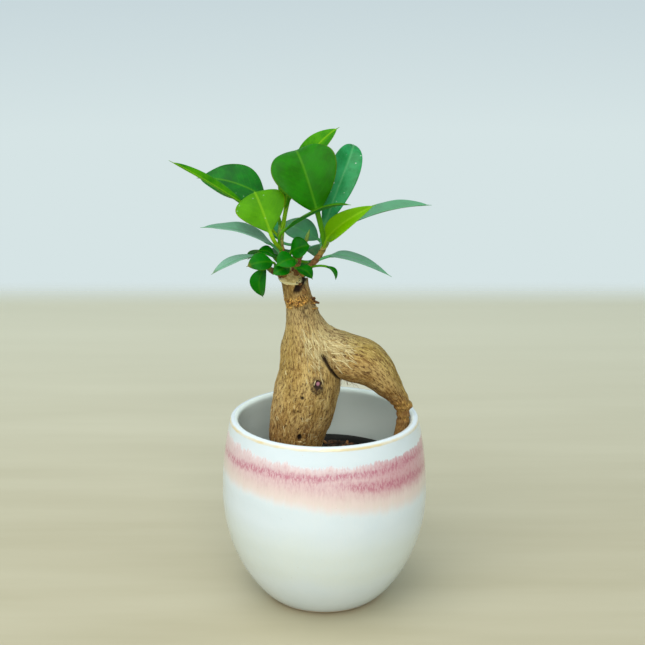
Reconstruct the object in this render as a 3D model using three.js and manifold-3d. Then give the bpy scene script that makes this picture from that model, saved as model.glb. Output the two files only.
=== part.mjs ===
// A ginseng ficus bonsai in a nursery pot, standing inside a rounded, glazed cover pot.
// Millimetres, +Z up. The origin is the centre of the cover pot's flat underside, and the
// front of the tree looks along -Y.

import * as THREE from "three";
import { mergeVertices } from "three/addons/utils/BufferGeometryUtils.js";
import Module from "manifold-3d";

const wasm = await Module();
wasm.setup();

// ---- Driving dimensions ----

const GAP = 0.3; // clearance between pieces that touch

const POT_HEIGHT = 100;
const POT_WIDEST_RADIUS = 54;
const POT_WIDEST_HEIGHT = 58;
const POT_FOOT_RADIUS = 28;
const POT_MOUTH_RADIUS = 49;
const POT_WALL = 4.5;
const POT_FLOOR = 6;
const POT_FLOOR_CORNER = 5; // how far the slope between wall and floor reaches inwards
const BELLY_SQUARENESS = 0.78; // 0.5 would make the belly's side a quarter of an ellipse

const NURSERY_RIM_RADIUS = 44.7;
const NURSERY_BASE_RADIUS = 25;
const NURSERY_RIM_HEIGHT = 73; // top of its rim above the table
const NURSERY_WALL = 1.1;
const NURSERY_FLOOR = 1.5;
const NURSERY_COLLAR = 6; // depth of the turned-over rim
const COLLAR_STEP = 1.2; // how far the rim stands out from the wall below it
const COLLAR_SLOPE = 0.8; // height over which it steps out
const DRAIN_HOLES = 6;
const DRAIN_RADIUS = 3.5;
const DRAIN_CIRCLE_RADIUS = 16;

const SOIL_EDGE_HEIGHT = 70;
const SOIL_CROWN_HEIGHT = 71.5;
const SOIL_CROWN_RADIUS = 20; // the flat middle of the soil
const SOIL_SHOULDER = 6; // width of the ring that slopes down to the wall

const PETIOLE_RADIUS = 0.75;
const PETIOLE_LEAN = 0.4; // share of its length over which a petiole turns into the blade
const BLADE_THICKNESS = 0.7;
const BLADE_BODY = 0.95; // share of a blade's length before its drip tip
const BLADE_BLUNTNESS = 0.75; // 1 would make the outline a plain sine curve
const DRIP_TIP_WIDTH = 0.08; // share of the blade's width
const DRIP_TIP_TAPER = 0.12; // share of the blade's length over which it comes to a point
const BLADE_OPENING = 0.2; // share of the length over which a blade flattens out and folds
const TIP_TAPER = 0.15; // share of the length over which a blade thins towards its tip
const TIP_THINNEST = 0.3; // share of the thickness left there
const TIP_HALF_WIDTH = 0.2;

const BUD_RADIUS = 1.1;
const BUD_LENGTH = 4.5;
const BUD_PLACE = [-30.6, -5.4, 185];
const BUD_TURN = [0.15, -0.35, 0];

const GLAZE = { color: 0xe4e9ec, roughness: 0.18, metalness: 0 };
const NURSERY_PLASTIC = { color: 0x23211f, roughness: 0.6, metalness: 0 };
const SOIL = { color: 0x3b2a1d, roughness: 1, metalness: 0 };
const BARK = { color: 0xa3834f, roughness: 0.85, metalness: 0 };
const TWIG = { color: 0x6d4a2c, roughness: 0.8, metalness: 0 };
const YOUNG_LEAF = { color: 0x6fae1f, roughness: 0.35, metalness: 0 };
const GREEN_LEAF = { color: 0x2f8a2c, roughness: 0.3, metalness: 0 };
const OLD_LEAF = { color: 0x3f7f5c, roughness: 0.35, metalness: 0 };

const tree = new THREE.Group();

function addPiece(name, geometry, finish) {
  const piece = new THREE.Mesh(geometry, new THREE.MeshStandardMaterial(finish));
  piece.name = name;
  tree.add(piece);
  return piece;
}

// ---- Joining and cutting closed meshes ----

function solidOf(geometry) {
  const bare = geometry.clone();
  bare.deleteAttribute("normal");
  bare.deleteAttribute("uv");
  const merged = mergeVertices(bare, 1e-4);
  return new wasm.Manifold(
    new wasm.Mesh({
      numProp: 3,
      vertProperties: merged.attributes.position.array,
      triVerts: new Uint32Array(merged.index.array),
    }),
  );
}

function geometryOf(solid) {
  const mesh = solid.getMesh();
  const geometry = new THREE.BufferGeometry();
  geometry.setAttribute("position", new THREE.BufferAttribute(mesh.vertProperties, 3));
  geometry.setIndex(new THREE.BufferAttribute(mesh.triVerts, 1));
  geometry.computeVertexNormals();
  return geometry;
}

// ---- Turned pieces: a closed profile of [radius, height] points, spun about Z ----

function turned(profile, sides) {
  const points = profile.map(([radius, height]) => new THREE.Vector2(radius, height));
  const geometry = new THREE.LatheGeometry(points, sides);
  geometry.rotateX(Math.PI / 2);
  return geometry;
}

// ---- Lofted pieces: rings of points joined in order, with a closed cap at each end ----

function loft(rings) {
  const sides = rings[0].length;
  const positions = rings.flat().flatMap((point) => point.toArray());
  const index = [];
  for (let ring = 0; ring < rings.length - 1; ring++) {
    for (let side = 0; side < sides; side++) {
      const a = ring * sides + side;
      const b = ring * sides + ((side + 1) % sides);
      index.push(a, b, b + sides, a, b + sides, a + sides);
    }
  }
  const last = (rings.length - 1) * sides;
  for (let side = 1; side < sides - 1; side++) {
    index.push(0, side + 1, side);
    index.push(last, last + side, last + side + 1);
  }
  const geometry = new THREE.BufferGeometry();
  geometry.setAttribute("position", new THREE.Float32BufferAttribute(positions, 3));
  geometry.setIndex(index);
  geometry.computeVertexNormals();
  return geometry;
}

// A limb follows a smooth curve through its stations, [x, y, z, width / 2, depth / 2] each.
// Its rings are ellipses square to the curve, with their depth nearest to the Y direction.
function limb(stations, steps, sides, grow = 0) {
  const path = new THREE.CatmullRomCurve3(
    stations.map(([x, y, z]) => new THREE.Vector3(x, y, z)),
  );
  const girth = new THREE.CatmullRomCurve3(
    stations.map(([, , , wide, deep]) => new THREE.Vector3(wide, deep, 0)),
  );
  const rings = [];
  for (let step = 0; step <= steps; step++) {
    const t = step / steps;
    const centre = path.getPoint(t);
    const along = path.getTangent(t);
    const { x: wide, y: deep } = girth.getPoint(t);
    const across = new THREE.Vector3(0, 1, 0).cross(along).normalize();
    const depth = along.clone().cross(across);
    const ring = [];
    for (let side = 0; side < sides; side++) {
      const turn = (side / sides) * 2 * Math.PI;
      ring.push(
        centre
          .clone()
          .addScaledVector(across, (wide + grow) * Math.cos(turn))
          .addScaledVector(depth, (deep + grow) * Math.sin(turn)),
      );
    }
    rings.push(ring);
  }
  return loft(rings);
}

// ---- Cover pot: one thrown and glazed shell with a flat foot and a rounded lip ----

function potOuterRadius(height) {
  if (height > POT_WIDEST_HEIGHT) {
    const rise = (height - POT_WIDEST_HEIGHT) / (POT_HEIGHT - POT_WIDEST_HEIGHT);
    return POT_WIDEST_RADIUS - (POT_WIDEST_RADIUS - POT_MOUTH_RADIUS) * rise ** 2;
  }
  const drop = 1 - height / POT_WIDEST_HEIGHT;
  const swell = (1 - drop ** 2) ** BELLY_SQUARENESS;
  return POT_FOOT_RADIUS + (POT_WIDEST_RADIUS - POT_FOOT_RADIUS) * swell;
}

// The point of the wall's inside face that lies square across from a height on the outside.
function potInnerPoint(height) {
  const step = 0.01;
  const slope = (potOuterRadius(height + step) - potOuterRadius(height - step)) / (2 * step);
  const length = Math.hypot(1, slope);
  return [
    potOuterRadius(height) - POT_WALL / length,
    height + (POT_WALL * slope) / length,
  ];
}

function coverPot() {
  const lipRadius = POT_WALL / 2;
  const lipCentre = POT_HEIGHT - lipRadius;
  const wallHeights = [1, 3, 6.5, 12, 19, 28, 40, 54, 68, 82, lipCentre];
  const profile = [
    [0, 0],
    [POT_FOOT_RADIUS, 0],
  ];
  for (const height of wallHeights) profile.push([potOuterRadius(height), height]);
  const lipMiddle = potOuterRadius(lipCentre) - lipRadius;
  for (const turn of [45, 90, 135]) {
    const angle = THREE.MathUtils.degToRad(turn);
    profile.push([
      lipMiddle + lipRadius * Math.cos(angle),
      lipCentre + lipRadius * Math.sin(angle),
    ]);
  }
  for (const height of wallHeights.toReversed()) {
    const [radius, inside] = potInnerPoint(height);
    if (inside > POT_FLOOR + 1) profile.push([radius, inside]);
  }
  const corner = profile.at(-1)[0];
  profile.push([corner - POT_FLOOR_CORNER, POT_FLOOR]);
  profile.push([0, POT_FLOOR]);
  return turned(profile, 40);
}

addPiece("cover_pot", coverPot(), GLAZE);

// ---- Nursery pot: a thin tapered plastic pot with a turned-over rim and drain holes ----

const nurseryBase = POT_FLOOR + GAP;
const nurseryInside = nurseryBase + NURSERY_FLOOR;

function nurseryRadius(height) {
  const rise = (height - nurseryBase) / (NURSERY_RIM_HEIGHT - nurseryBase);
  const top = NURSERY_RIM_RADIUS - COLLAR_STEP;
  return NURSERY_BASE_RADIUS + (top - NURSERY_BASE_RADIUS) * rise;
}

function nurseryPot() {
  const collarFoot = NURSERY_RIM_HEIGHT - NURSERY_COLLAR;
  const shell = solidOf(
    turned(
      [
        [0, nurseryBase],
        [NURSERY_BASE_RADIUS, nurseryBase],
        [nurseryRadius(collarFoot), collarFoot],
        [NURSERY_RIM_RADIUS, collarFoot + COLLAR_SLOPE],
        [NURSERY_RIM_RADIUS, NURSERY_RIM_HEIGHT],
        [nurseryRadius(NURSERY_RIM_HEIGHT) - NURSERY_WALL, NURSERY_RIM_HEIGHT],
        [nurseryRadius(nurseryInside) - NURSERY_WALL, nurseryInside],
        [0, nurseryInside],
      ],
      36,
    ),
  );
  let cut = shell;
  for (let hole = 0; hole < DRAIN_HOLES; hole++) {
    const drill = new THREE.CylinderGeometry(DRAIN_RADIUS, DRAIN_RADIUS, 4 * NURSERY_FLOOR, 10);
    drill.rotateX(Math.PI / 2);
    const turn = (hole / DRAIN_HOLES) * 2 * Math.PI;
    drill.translate(
      DRAIN_CIRCLE_RADIUS * Math.cos(turn),
      DRAIN_CIRCLE_RADIUS * Math.sin(turn),
      nurseryInside,
    );
    cut = cut.subtract(solidOf(drill));
  }
  return geometryOf(cut);
}

addPiece("nursery_pot", nurseryPot(), NURSERY_PLASTIC);

// ---- Trunk: the swollen root-trunk and the aerial root that arches out of its shoulder ----

const TRUNK_STATIONS = [
  [-13, 1, 36, 3.5, 3.5],
  [-15, 1, 52, 7.5, 7],
  [-15.5, 0, 68, 11, 10.5],
  [-15.2, 0, 82, 13.4, 12.8],
  [-14, 0, 93, 15.2, 14.4],
  [-12, 0, 102, 16.6, 15.2],
  [-9.6, 0, 113, 16.9, 15.4],
  [-8.2, 0, 124, 16.2, 14.6],
  [-8.5, 0, 135, 14.2, 13],
  [-9.6, 0, 145, 11.4, 11],
  [-10.9, 0, 153, 8.9, 9],
  [-12.3, 0, 160, 7.5, 7.8],
  [-14.4, 0, 167, 7, 7.2],
  [-15.9, 0, 174, 6.7, 6.9],
];

const AERIAL_ROOT_STATIONS = [
  [-8, 0, 139, 9, 9],
  [1, -1, 136.5, 10.5, 10],
  [10, -2, 133.5, 12, 11.4],
  [19, -3, 131, 12.3, 11.8],
  [26, -3, 126, 10.4, 10.6],
  [31.5, -3, 119.5, 7.8, 8.4],
  [36, -2, 113.5, 5.7, 6],
  [39.7, -1, 107.5, 4.2, 4.4],
  [41.2, 0, 100, 3.3, 3.5],
  [40.6, 0, 91, 3.6, 3.7],
  [38.4, 0, 79, 4, 4],
  [35.5, 0, 66, 3.4, 3.4],
  [31, 1, 52, 2, 2],
];

const ROOT_KNOB = { at: [44, 0, 105.5], radius: 2.4 };

function trunk(grow) {
  const stem = solidOf(limb(TRUNK_STATIONS, 22, 18, grow));
  const root = solidOf(limb(AERIAL_ROOT_STATIONS, 22, 12, grow));
  const knob = new THREE.IcosahedronGeometry(ROOT_KNOB.radius + grow, 1);
  knob.translate(...ROOT_KNOB.at);
  return stem.add(root).add(solidOf(knob));
}

addPiece("trunk", geometryOf(trunk(0)), BARK);

// ---- Potting soil: fills the nursery pot and is pierced by the trunk and the aerial root ----

function pottingSoil() {
  const low = nurseryInside + GAP;
  const wallClearance = NURSERY_WALL + GAP;
  const middle = (SOIL_EDGE_HEIGHT + SOIL_CROWN_HEIGHT) / 2;
  const fill = turned(
    [
      [0, low],
      [nurseryRadius(low) - wallClearance, low],
      [nurseryRadius(SOIL_EDGE_HEIGHT) - wallClearance, SOIL_EDGE_HEIGHT],
      [nurseryRadius(SOIL_EDGE_HEIGHT) - SOIL_SHOULDER, middle],
      [SOIL_CROWN_RADIUS, SOIL_CROWN_HEIGHT],
      [0, SOIL_CROWN_HEIGHT],
    ],
    32,
  );
  return geometryOf(solidOf(fill).subtract(trunk(GAP)));
}

addPiece("potting_soil", pottingSoil(), SOIL);

// ---- Shoots: the woody twigs that grow from the cut top of the trunk ----
// Each follows the points given, [x, y, z, radius].

const SHOOTS = {
  shoot_left: [
    [-21.4, 0.5, 174.8, 1.7],
    [-24.2, -2.5, 177.5, 1.6],
    [-27, -4.5, 179, 1.5],
    [-29.5, -5, 182, 1.2],
  ],
  shoot_front_left: [
    [-18.5, 4.2, 175, 1.5],
    [-20, 2, 180.5, 1.4],
    [-21.5, -1, 188, 1.3],
    [-22.5, -1, 197, 1.1],
  ],
  shoot_right: [
    [-10.5, 0, 177.2, 1.7],
    [-7.5, 0.5, 179.5, 1.6],
    [-3, 1, 185, 1.5],
    [0.5, 0, 191, 1.3],
  ],
  shoot_centre: [
    [-14.5, 2, 175.4, 1.4],
    [-13.5, 3, 181, 1.3],
    [-11, 4, 188, 1.1],
    [-9, 4, 194, 0.9],
  ],
  shoot_back: [
    [-15.5, 5, 175.4, 1.5],
    [-15.5, 8, 180, 1.4],
    [-14, 12, 187, 1.2],
    [-13, 14, 193, 1],
  ],
};

for (const [name, points] of Object.entries(SHOOTS)) {
  const stations = points.map(([x, y, z, radius]) => [x, y, z, radius, radius]);
  addPiece(name, limb(stations, 6, 8), TWIG);
}

// ---- Leaves: each a leathery blade on its own petiole ----
// shoot and at: which shoot carries it, and how far along. base and tip: the blade's ends.
// face: the way its upper side looks. arch: how far the midrib bows towards that side.
// fold: how steeply the halves rise from the midrib, in degrees. peak: where along the
// blade the bow is sharpest. full: where along the blade it is widest.

const LEAVES = {
  leaf_heart: {
    shoot: "shoot_right", at: 0.97, base: [-3.5, -3, 208], tip: [-15, 14.5, 237],
    face: [0, -9, 6], width: 34, arch: 8.5, fold: 11, peak: 0.77, full: 0.51, finish: GREEN_LEAF,
  },
  leaf_crest: {
    shoot: "shoot_front_left", at: 0.75, base: [-15.5, 12, 220], tip: [7.5, 16.5, 248.5],
    face: [-6, -8, 9], width: 16.5, arch: 4, fold: 13, peak: 0.54, full: 0.52, finish: YOUNG_LEAF,
  },
  leaf_upright_right: {
    shoot: "shoot_right", at: 0.8, base: [-0.5, 5, 199.5], tip: [15, 24.5, 238.5],
    face: [2, -9, 6.5], width: 16, arch: 8, fold: 14, peak: 0.85, full: 0.46, finish: OLD_LEAF,
  },
  leaf_bright_front: {
    shoot: "shoot_front_left", at: 0.7, base: [-27, -8.5, 199], tip: [-35.5, 4.8, 217.5],
    face: [0.5, -9, 4.5], width: 26, arch: 3.5, fold: 5, peak: 0.66, full: 0.55, finish: YOUNG_LEAF,
  },
  leaf_bright_behind: {
    shoot: "shoot_front_left", at: 1, base: [-20, 4, 208.5], tip: [-14.5, 13, 230.5],
    face: [-8, -9, 3], width: 14.5, arch: 1, fold: 11, peak: 0.55, full: 0.59, finish: YOUNG_LEAF,
  },
  leaf_long_left: {
    shoot: "shoot_front_left", at: 0.9, base: [-39.2, 3, 210], tip: [-77, -6, 235],
    face: [5.5, -3.5, 9], width: 9.5, arch: 0.8, fold: 23, peak: 0.46, full: 0.52, finish: YOUNG_LEAF,
  },
  leaf_dark_left: {
    shoot: "shoot_front_left", at: 0.8, base: [-31, 17.5, 212.2], tip: [-66, 21.5, 221.6],
    face: [3, -6.5, 9], width: 26, arch: 4, fold: 9, peak: 0.47, full: 0.45, finish: GREEN_LEAF,
  },
  leaf_curved_front: {
    shoot: "shoot_front_left", at: 0.62, base: [-20, -8.5, 200.5], tip: [13, -15.5, 214.5],
    face: [-2, 1, 9], width: 13, arch: 3, fold: 12, peak: 0.69, full: 0.4, finish: GREEN_LEAF,
  },
  leaf_bright_right: {
    shoot: "shoot_right", at: 0.9, base: [1.2, -5.6, 195], tip: [25.5, -13, 214.3],
    face: [-6, -9, 3], width: 12, arch: 5, fold: 27, peak: 0.41, full: 0.4, finish: YOUNG_LEAF,
  },
  leaf_long_right: {
    shoot: "shoot_right", at: 0.75, base: [10.5, 3.5, 200.5], tip: [54, 2.5, 211],
    face: [-1, -0.7, 9], width: 18, arch: 2.7, fold: 15, peak: 0.54, full: 0.44, finish: OLD_LEAF,
  },
  leaf_spread_left: {
    shoot: "shoot_front_left", at: 0.5, base: [-27.2, -0.6, 191.7], tip: [-62.7, -1.5, 200.3],
    face: [0.6, -0.9, 9], width: 17, arch: 3.4, fold: 10, peak: 0.47, full: 0.4, finish: OLD_LEAF,
  },
  leaf_low_left: {
    shoot: "shoot_left", at: 0.85, base: [-35, -2, 186], tip: [-57, -10, 178],
    face: [3, 0.5, 9], width: 10.5, arch: 1.5, fold: 15, peak: 0.5, full: 0.5, finish: OLD_LEAF,
  },
  leaf_drooping_right: {
    shoot: "shoot_right", at: 0.5, base: [2.7, 0.3, 185.2], tip: [34, -5, 175.6],
    face: [2.3, -1.8, 9], width: 12.5, arch: 3.1, fold: 7, peak: 0.3, full: 0.44, finish: OLD_LEAF,
  },
  leaf_hanging: {
    shoot: "shoot_left", at: 0.75, base: [-30, -8, 181], tip: [-31, -9, 166],
    face: [-6, -7, 0], width: 12, arch: 3.5, fold: 15, peak: 0.5, full: 0.5, finish: GREEN_LEAF,
  },
  leaf_small_left: {
    shoot: "shoot_left", at: 0.55, base: [-26, -9, 184], tip: [-39, -14, 183],
    face: [0, -7, 7], width: 11, arch: 2, fold: 10, peak: 0.5, full: 0.5, finish: GREEN_LEAF,
  },
  leaf_small_left_upper: {
    shoot: "shoot_front_left", at: 0.3, base: [-25, -3, 185], tip: [-34, -6, 189],
    face: [0, -4, 9], width: 9, arch: 2, fold: 10, peak: 0.5, full: 0.5, finish: GREEN_LEAF,
  },
  leaf_small_front: {
    shoot: "shoot_front_left", at: 0.2, base: [-15, -11, 186], tip: [-24, -17, 184],
    face: [0, -7, 7], width: 11, arch: 2, fold: 10, peak: 0.5, full: 0.5, finish: GREEN_LEAF,
  },
  leaf_small_front_low: {
    shoot: "shoot_left", at: 0.15, base: [-18, -9, 181], tip: [-26, -15, 179],
    face: [0, -8, 6], width: 8, arch: 2, fold: 10, peak: 0.5, full: 0.5, finish: GREEN_LEAF,
  },
  leaf_inner_front: {
    shoot: "shoot_centre", at: 0.3, base: [-17, -3.5, 188], tip: [-7, -6, 192],
    face: [0, -8, 6], width: 12, arch: 2, fold: 10, peak: 0.5, full: 0.5, finish: GREEN_LEAF,
  },
  leaf_inner_back: {
    shoot: "shoot_right", at: 0.6, base: [-3.2, 9, 192], tip: [-23, 17.6, 198.6],
    face: [-1.5, -6.5, 9], width: 15, arch: 2, fold: 6, peak: 0.47, full: 0.51, finish: OLD_LEAF,
  },
  leaf_small_low: {
    shoot: "shoot_right", at: 0.1, base: [-14, -8, 181], tip: [-6, -12, 176],
    face: [2, -5, 8], width: 8, arch: 2, fold: 10, peak: 0.5, full: 0.5, finish: GREEN_LEAF,
  },
  leaf_small_right: {
    shoot: "shoot_right", at: 0.3, base: [1, -5, 181], tip: [5.6, -7, 174.5],
    face: [6, -3, 7], width: 5, arch: 2, fold: 10, peak: 0.5, full: 0.5, finish: GREEN_LEAF,
  },
  leaf_back_left: {
    shoot: "shoot_back", at: 0.75, base: [-23, 17, 190], tip: [-42, 36, 195],
    face: [1, 0, 9], width: 20, arch: 4, fold: 12, peak: 0.5, full: 0.5, finish: OLD_LEAF,
  },
  leaf_back_tall: {
    shoot: "shoot_right", at: 0.95, base: [1.5, 17, 207], tip: [-1, 30, 233],
    face: [0, -6, 5], width: 22, arch: 3, fold: 10, peak: 0.5, full: 0.55, finish: GREEN_LEAF,
  },
  leaf_back_right: {
    shoot: "shoot_back", at: 0.9, base: [-10, 17, 184.5], tip: [-4, 42, 174],
    face: [-1, 0, 9], width: 14, arch: 4, fold: 12, peak: 0.5, full: 0.5, finish: OLD_LEAF,
  },
  leaf_back_middle: {
    shoot: "shoot_back", at: 0.6, base: [-16, 20, 183], tip: [-25, 50, 168],
    face: [0, 0, 9], width: 16, arch: 4, fold: 12, peak: 0.5, full: 0.5, finish: GREEN_LEAF,
  },
  leaf_back_low_left: {
    shoot: "shoot_back", at: 0.45, base: [-22, 14, 182], tip: [-41, 32, 176],
    face: [0, 1, 9], width: 16, arch: 3, fold: 12, peak: 0.5, full: 0.5, finish: GREEN_LEAF,
  },
  leaf_back_low_right: {
    shoot: "shoot_back", at: 0.4, base: [-9, 14, 179], tip: [-12, 36, 163],
    face: [0, 1, 9], width: 12, arch: 4, fold: 12, peak: 0.5, full: 0.5, finish: GREEN_LEAF,
  },
};

const LEAF_SIDES = 8;
const PETIOLE_STEPS = 2;
const BLADE_STEPS = 10;
const SMALL_LEAF = 20; // blades shorter than this take fewer rings
const SMALL_BLADE_STEPS = 6;

// Half of the blade's outline, as a share of its half width: a wedge-shaped base, a full
// middle and a short drip tip.
function bladeOutline(along, full) {
  const power = Math.log(0.5) / Math.log(full);
  const body = Math.sin(Math.PI * Math.min(along / BLADE_BODY, 1) ** power);
  const dripTip = DRIP_TIP_WIDTH * Math.min((1 - along) / DRIP_TIP_TAPER, 1);
  return Math.max(body ** BLADE_BLUNTNESS, dripTip);
}

// Where a petiole starts: just clear of its shoot's bark, on the side that its blade is on.
function petioleStart(shoot, at, towards) {
  const points = SHOOTS[shoot];
  const axis = new THREE.CatmullRomCurve3(points.map(([x, y, z]) => new THREE.Vector3(x, y, z)));
  const middle = axis.getPoint(at);
  const along = axis.getTangent(at);
  const shootRadius = points[Math.floor(at * (points.length - 1))][3];
  const outward = towards.clone().sub(middle).projectOnPlane(along).normalize();
  return middle.addScaledVector(outward, shootRadius + PETIOLE_RADIUS + GAP);
}

function leaf({ base, tip, face, width, arch, fold, peak, full }, start) {
  const root = new THREE.Vector3(...base).sub(start);
  const end = new THREE.Vector3(...tip).sub(start);
  const chord = end.clone().sub(root);
  const ahead = chord.clone().normalize();
  const upper = new THREE.Vector3(...face).projectOnPlane(ahead).normalize();
  const across = ahead.clone().cross(upper);
  const bow = root.clone().addScaledVector(chord, peak).addScaledVector(upper, 2 * arch);
  const midrib = new THREE.QuadraticBezierCurve3(root, bow, end);
  const lean = root.clone().addScaledVector(midrib.getTangent(0), -root.length() * PETIOLE_LEAN);
  const petiole = new THREE.QuadraticBezierCurve3(new THREE.Vector3(), lean, root);
  const rise = THREE.MathUtils.degToRad(fold);
  const rings = [];

  function addRing(curve, t, halfWidth, halfThickness, folded) {
    const centre = curve.getPoint(t);
    const along = curve.getTangent(t);
    const side = across.clone().projectOnPlane(along).normalize();
    const normal = side.clone().cross(along);
    const ring = [];
    for (let corner = 0; corner < LEAF_SIDES; corner++) {
      const turn = (-corner / LEAF_SIDES) * 2 * Math.PI;
      const reach = halfWidth * Math.cos(turn);
      const lift = Math.abs(reach) * Math.sin(folded) + halfThickness * Math.sin(turn);
      ring.push(
        centre
          .clone()
          .addScaledVector(side, reach * Math.cos(folded))
          .addScaledVector(normal, lift),
      );
    }
    rings.push(ring);
  }

  for (let step = 0; step < PETIOLE_STEPS; step++) {
    addRing(petiole, step / PETIOLE_STEPS, PETIOLE_RADIUS, PETIOLE_RADIUS, 0);
  }
  const bladeSteps = chord.length() < SMALL_LEAF ? SMALL_BLADE_STEPS : BLADE_STEPS;
  for (let step = 0; step <= bladeSteps; step++) {
    const along = step / bladeSteps;
    const fullWidth = (width / 2) * bladeOutline(along, full);
    const flat = Math.min(along / BLADE_OPENING, 1);
    const halfThickness = THREE.MathUtils.lerp(PETIOLE_RADIUS, BLADE_THICKNESS / 2, flat);
    const tipTaper = Math.min((1 - along) / TIP_TAPER + TIP_THINNEST, 1);
    addRing(
      midrib,
      along,
      Math.max(fullWidth, along < 0.5 ? PETIOLE_RADIUS : TIP_HALF_WIDTH),
      halfThickness * tipTaper,
      rise * flat,
    );
  }
  return loft(rings);
}

for (const [name, { shoot, at, finish, ...shape }] of Object.entries(LEAVES)) {
  const start = petioleStart(shoot, at, new THREE.Vector3(...shape.base));
  const piece = addPiece(name, leaf(shape, start), finish);
  piece.position.copy(start);
}

// ---- Bud: the pointed sheath that closes the end of the left shoot ----

const sheath = new THREE.ConeGeometry(BUD_RADIUS, BUD_LENGTH, 8);
sheath.rotateX(Math.PI / 2);
const bud = addPiece("bud_left", sheath, YOUNG_LEAF);
bud.position.set(...BUD_PLACE);
bud.rotation.set(...BUD_TURN);

export default tree;
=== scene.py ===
import itertools
import math

import bmesh
import bpy
import numpy as np
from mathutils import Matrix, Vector
from mathutils.bvhtree import BVHTree


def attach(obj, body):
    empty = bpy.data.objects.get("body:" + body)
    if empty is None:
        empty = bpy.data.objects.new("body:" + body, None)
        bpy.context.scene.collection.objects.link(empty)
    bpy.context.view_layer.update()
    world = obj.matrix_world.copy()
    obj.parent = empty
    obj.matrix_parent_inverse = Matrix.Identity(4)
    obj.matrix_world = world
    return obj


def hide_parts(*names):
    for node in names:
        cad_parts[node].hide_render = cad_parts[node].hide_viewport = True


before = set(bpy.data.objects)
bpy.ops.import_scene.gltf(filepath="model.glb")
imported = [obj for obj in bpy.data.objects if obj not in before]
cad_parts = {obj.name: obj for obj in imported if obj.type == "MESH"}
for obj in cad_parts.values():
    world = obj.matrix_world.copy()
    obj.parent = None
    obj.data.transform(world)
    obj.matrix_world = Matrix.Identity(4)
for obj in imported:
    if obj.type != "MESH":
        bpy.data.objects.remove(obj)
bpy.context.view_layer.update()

# ---- Table, daylight and camera ----
# The tree stands on a plain pale table in front of a plain pale wall. Soft daylight comes
# from a window at the front left, with more from the front and above. None of it belongs to
# the object.


def paint(red, green, blue):
    """A colour from 0 to 255 a channel, as the linear RGBA that sockets take."""
    linear = [
        c / 12.92 if c <= 0.04045 else ((c + 0.055) / 1.055) ** 2.4
        for c in (red / 255, green / 255, blue / 255)
    ]
    return (*linear, 1.0)


def place(tree, kind, inputs=None, **settings):
    """Adds a shader node. Each input is given a value, or another node's output."""
    made = tree.nodes.new("ShaderNode" + kind)
    for name, value in settings.items():
        setattr(made, name, value)
    for socket, value in (inputs or {}).items():
        if isinstance(value, bpy.types.NodeSocket):
            tree.links.new(value, made.inputs[socket])
        else:
            made.inputs[socket].default_value = value
    return made


def maths(tree, operation, *values, clamp=False):
    """The output of a Math node."""
    made = place(tree, "Math", dict(enumerate(values)), operation=operation, use_clamp=clamp)
    return made.outputs[0]


def fade(tree, value, low, high, least=0.0, most=1.0):
    """Rises smoothly from least to most as value goes from low to high."""
    inputs = {"Value": value, "From Min": low, "From Max": high, "To Min": least, "To Max": most}
    return place(tree, "MapRange", inputs, interpolation_type="SMOOTHSTEP").outputs[0]


def times(tree, first, second):
    """The product of two values."""
    return maths(tree, "MULTIPLY", first, second)


def mixed(tree, share, first, second):
    """Colour first, turning into second as share goes to 1."""
    made = place(tree, "Mix", {0: share, 6: first, 7: second}, data_type="RGBA")
    return made.outputs[2]


def noise(tree, vector, scale, detail=2.0, roughness=0.5):
    """A noise value around 0.5."""
    inputs = {"Vector": vector, "Scale": scale, "Detail": detail, "Roughness": roughness}
    return place(tree, "TexNoise", inputs).outputs[0]


def stretched(tree, vector, across, deep, along):
    """A vector with each of its axes scaled by its own number."""
    scales = (across, deep, along)
    made = place(tree, "VectorMath", {0: vector, 1: scales}, operation="MULTIPLY")
    return made.outputs[0]


def own_place(tree):
    """Where a point lies on its piece, in metres."""
    return place(tree, "TexCoord").outputs["Object"]


def new_material(name, **principled):
    """A material with a Principled surface, as (material, node tree, surface node)."""
    material = bpy.data.materials.new(name)
    material.use_nodes = True
    tree = material.node_tree
    surface = tree.nodes["Principled BSDF"]
    for socket, value in principled.items():
        surface.inputs[socket.replace("_", " ")].default_value = value
    return material, tree, surface


def mesh_piece(name, points, faces, material, smooth=True):
    """A mesh object from points in millimetres."""
    mesh = bpy.data.meshes.new(name)
    mesh.from_pydata((np.asarray(points) / 1000).tolist(), [], faces)
    mesh.materials.append(material)
    mesh.polygons.foreach_set("use_smooth", [smooth] * len(mesh.polygons))
    mesh.update()
    made = bpy.data.objects.new(name, mesh)
    bpy.context.scene.collection.objects.link(made)
    return made


TABLE_SIDE = 3.0
TABLE_FADES = 0.59
TABLE_FAR_EDGE = 0.70
TABLE_CLEARANCE = 0.0002
WINDOW_COLOUR = (1.0, 0.985, 0.95)
CAMERA_LENS = 75
CAMERA_AT = (-0.00106, -0.6661, 0.3371)
CAMERA_TILT_DOWN = 15.67

table_paint, tree, surface = new_material("pale_table", Roughness=0.55)
where = own_place(tree)
shade = noise(tree, stretched(tree, where, 1.2, 9.0, 1.0), 3.0, 4.0)
tint = place(tree, "ValToRGB", {"Fac": shade})
tint.color_ramp.elements[0].position = 0.3
tint.color_ramp.elements[0].color = paint(174, 165, 136)
tint.color_ramp.elements[1].position = 0.7
tint.color_ramp.elements[1].color = paint(186, 178, 151)
depth = place(tree, "SeparateXYZ", {0: where}).outputs["Y"]
farther = place(tree, "MapRange", {"Value": depth, "From Min": 0.05, "From Max": 0.5, "To Max": 0.75})
paler = mixed(tree, farther.outputs[0], tint.outputs[0], paint(212, 208, 184))
tree.links.new(paler, surface.inputs["Base Color"])
solid = fade(tree, depth, TABLE_FADES, TABLE_FAR_EDGE, 1.0, 0.0)
tree.links.new(solid, surface.inputs["Alpha"])

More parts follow.
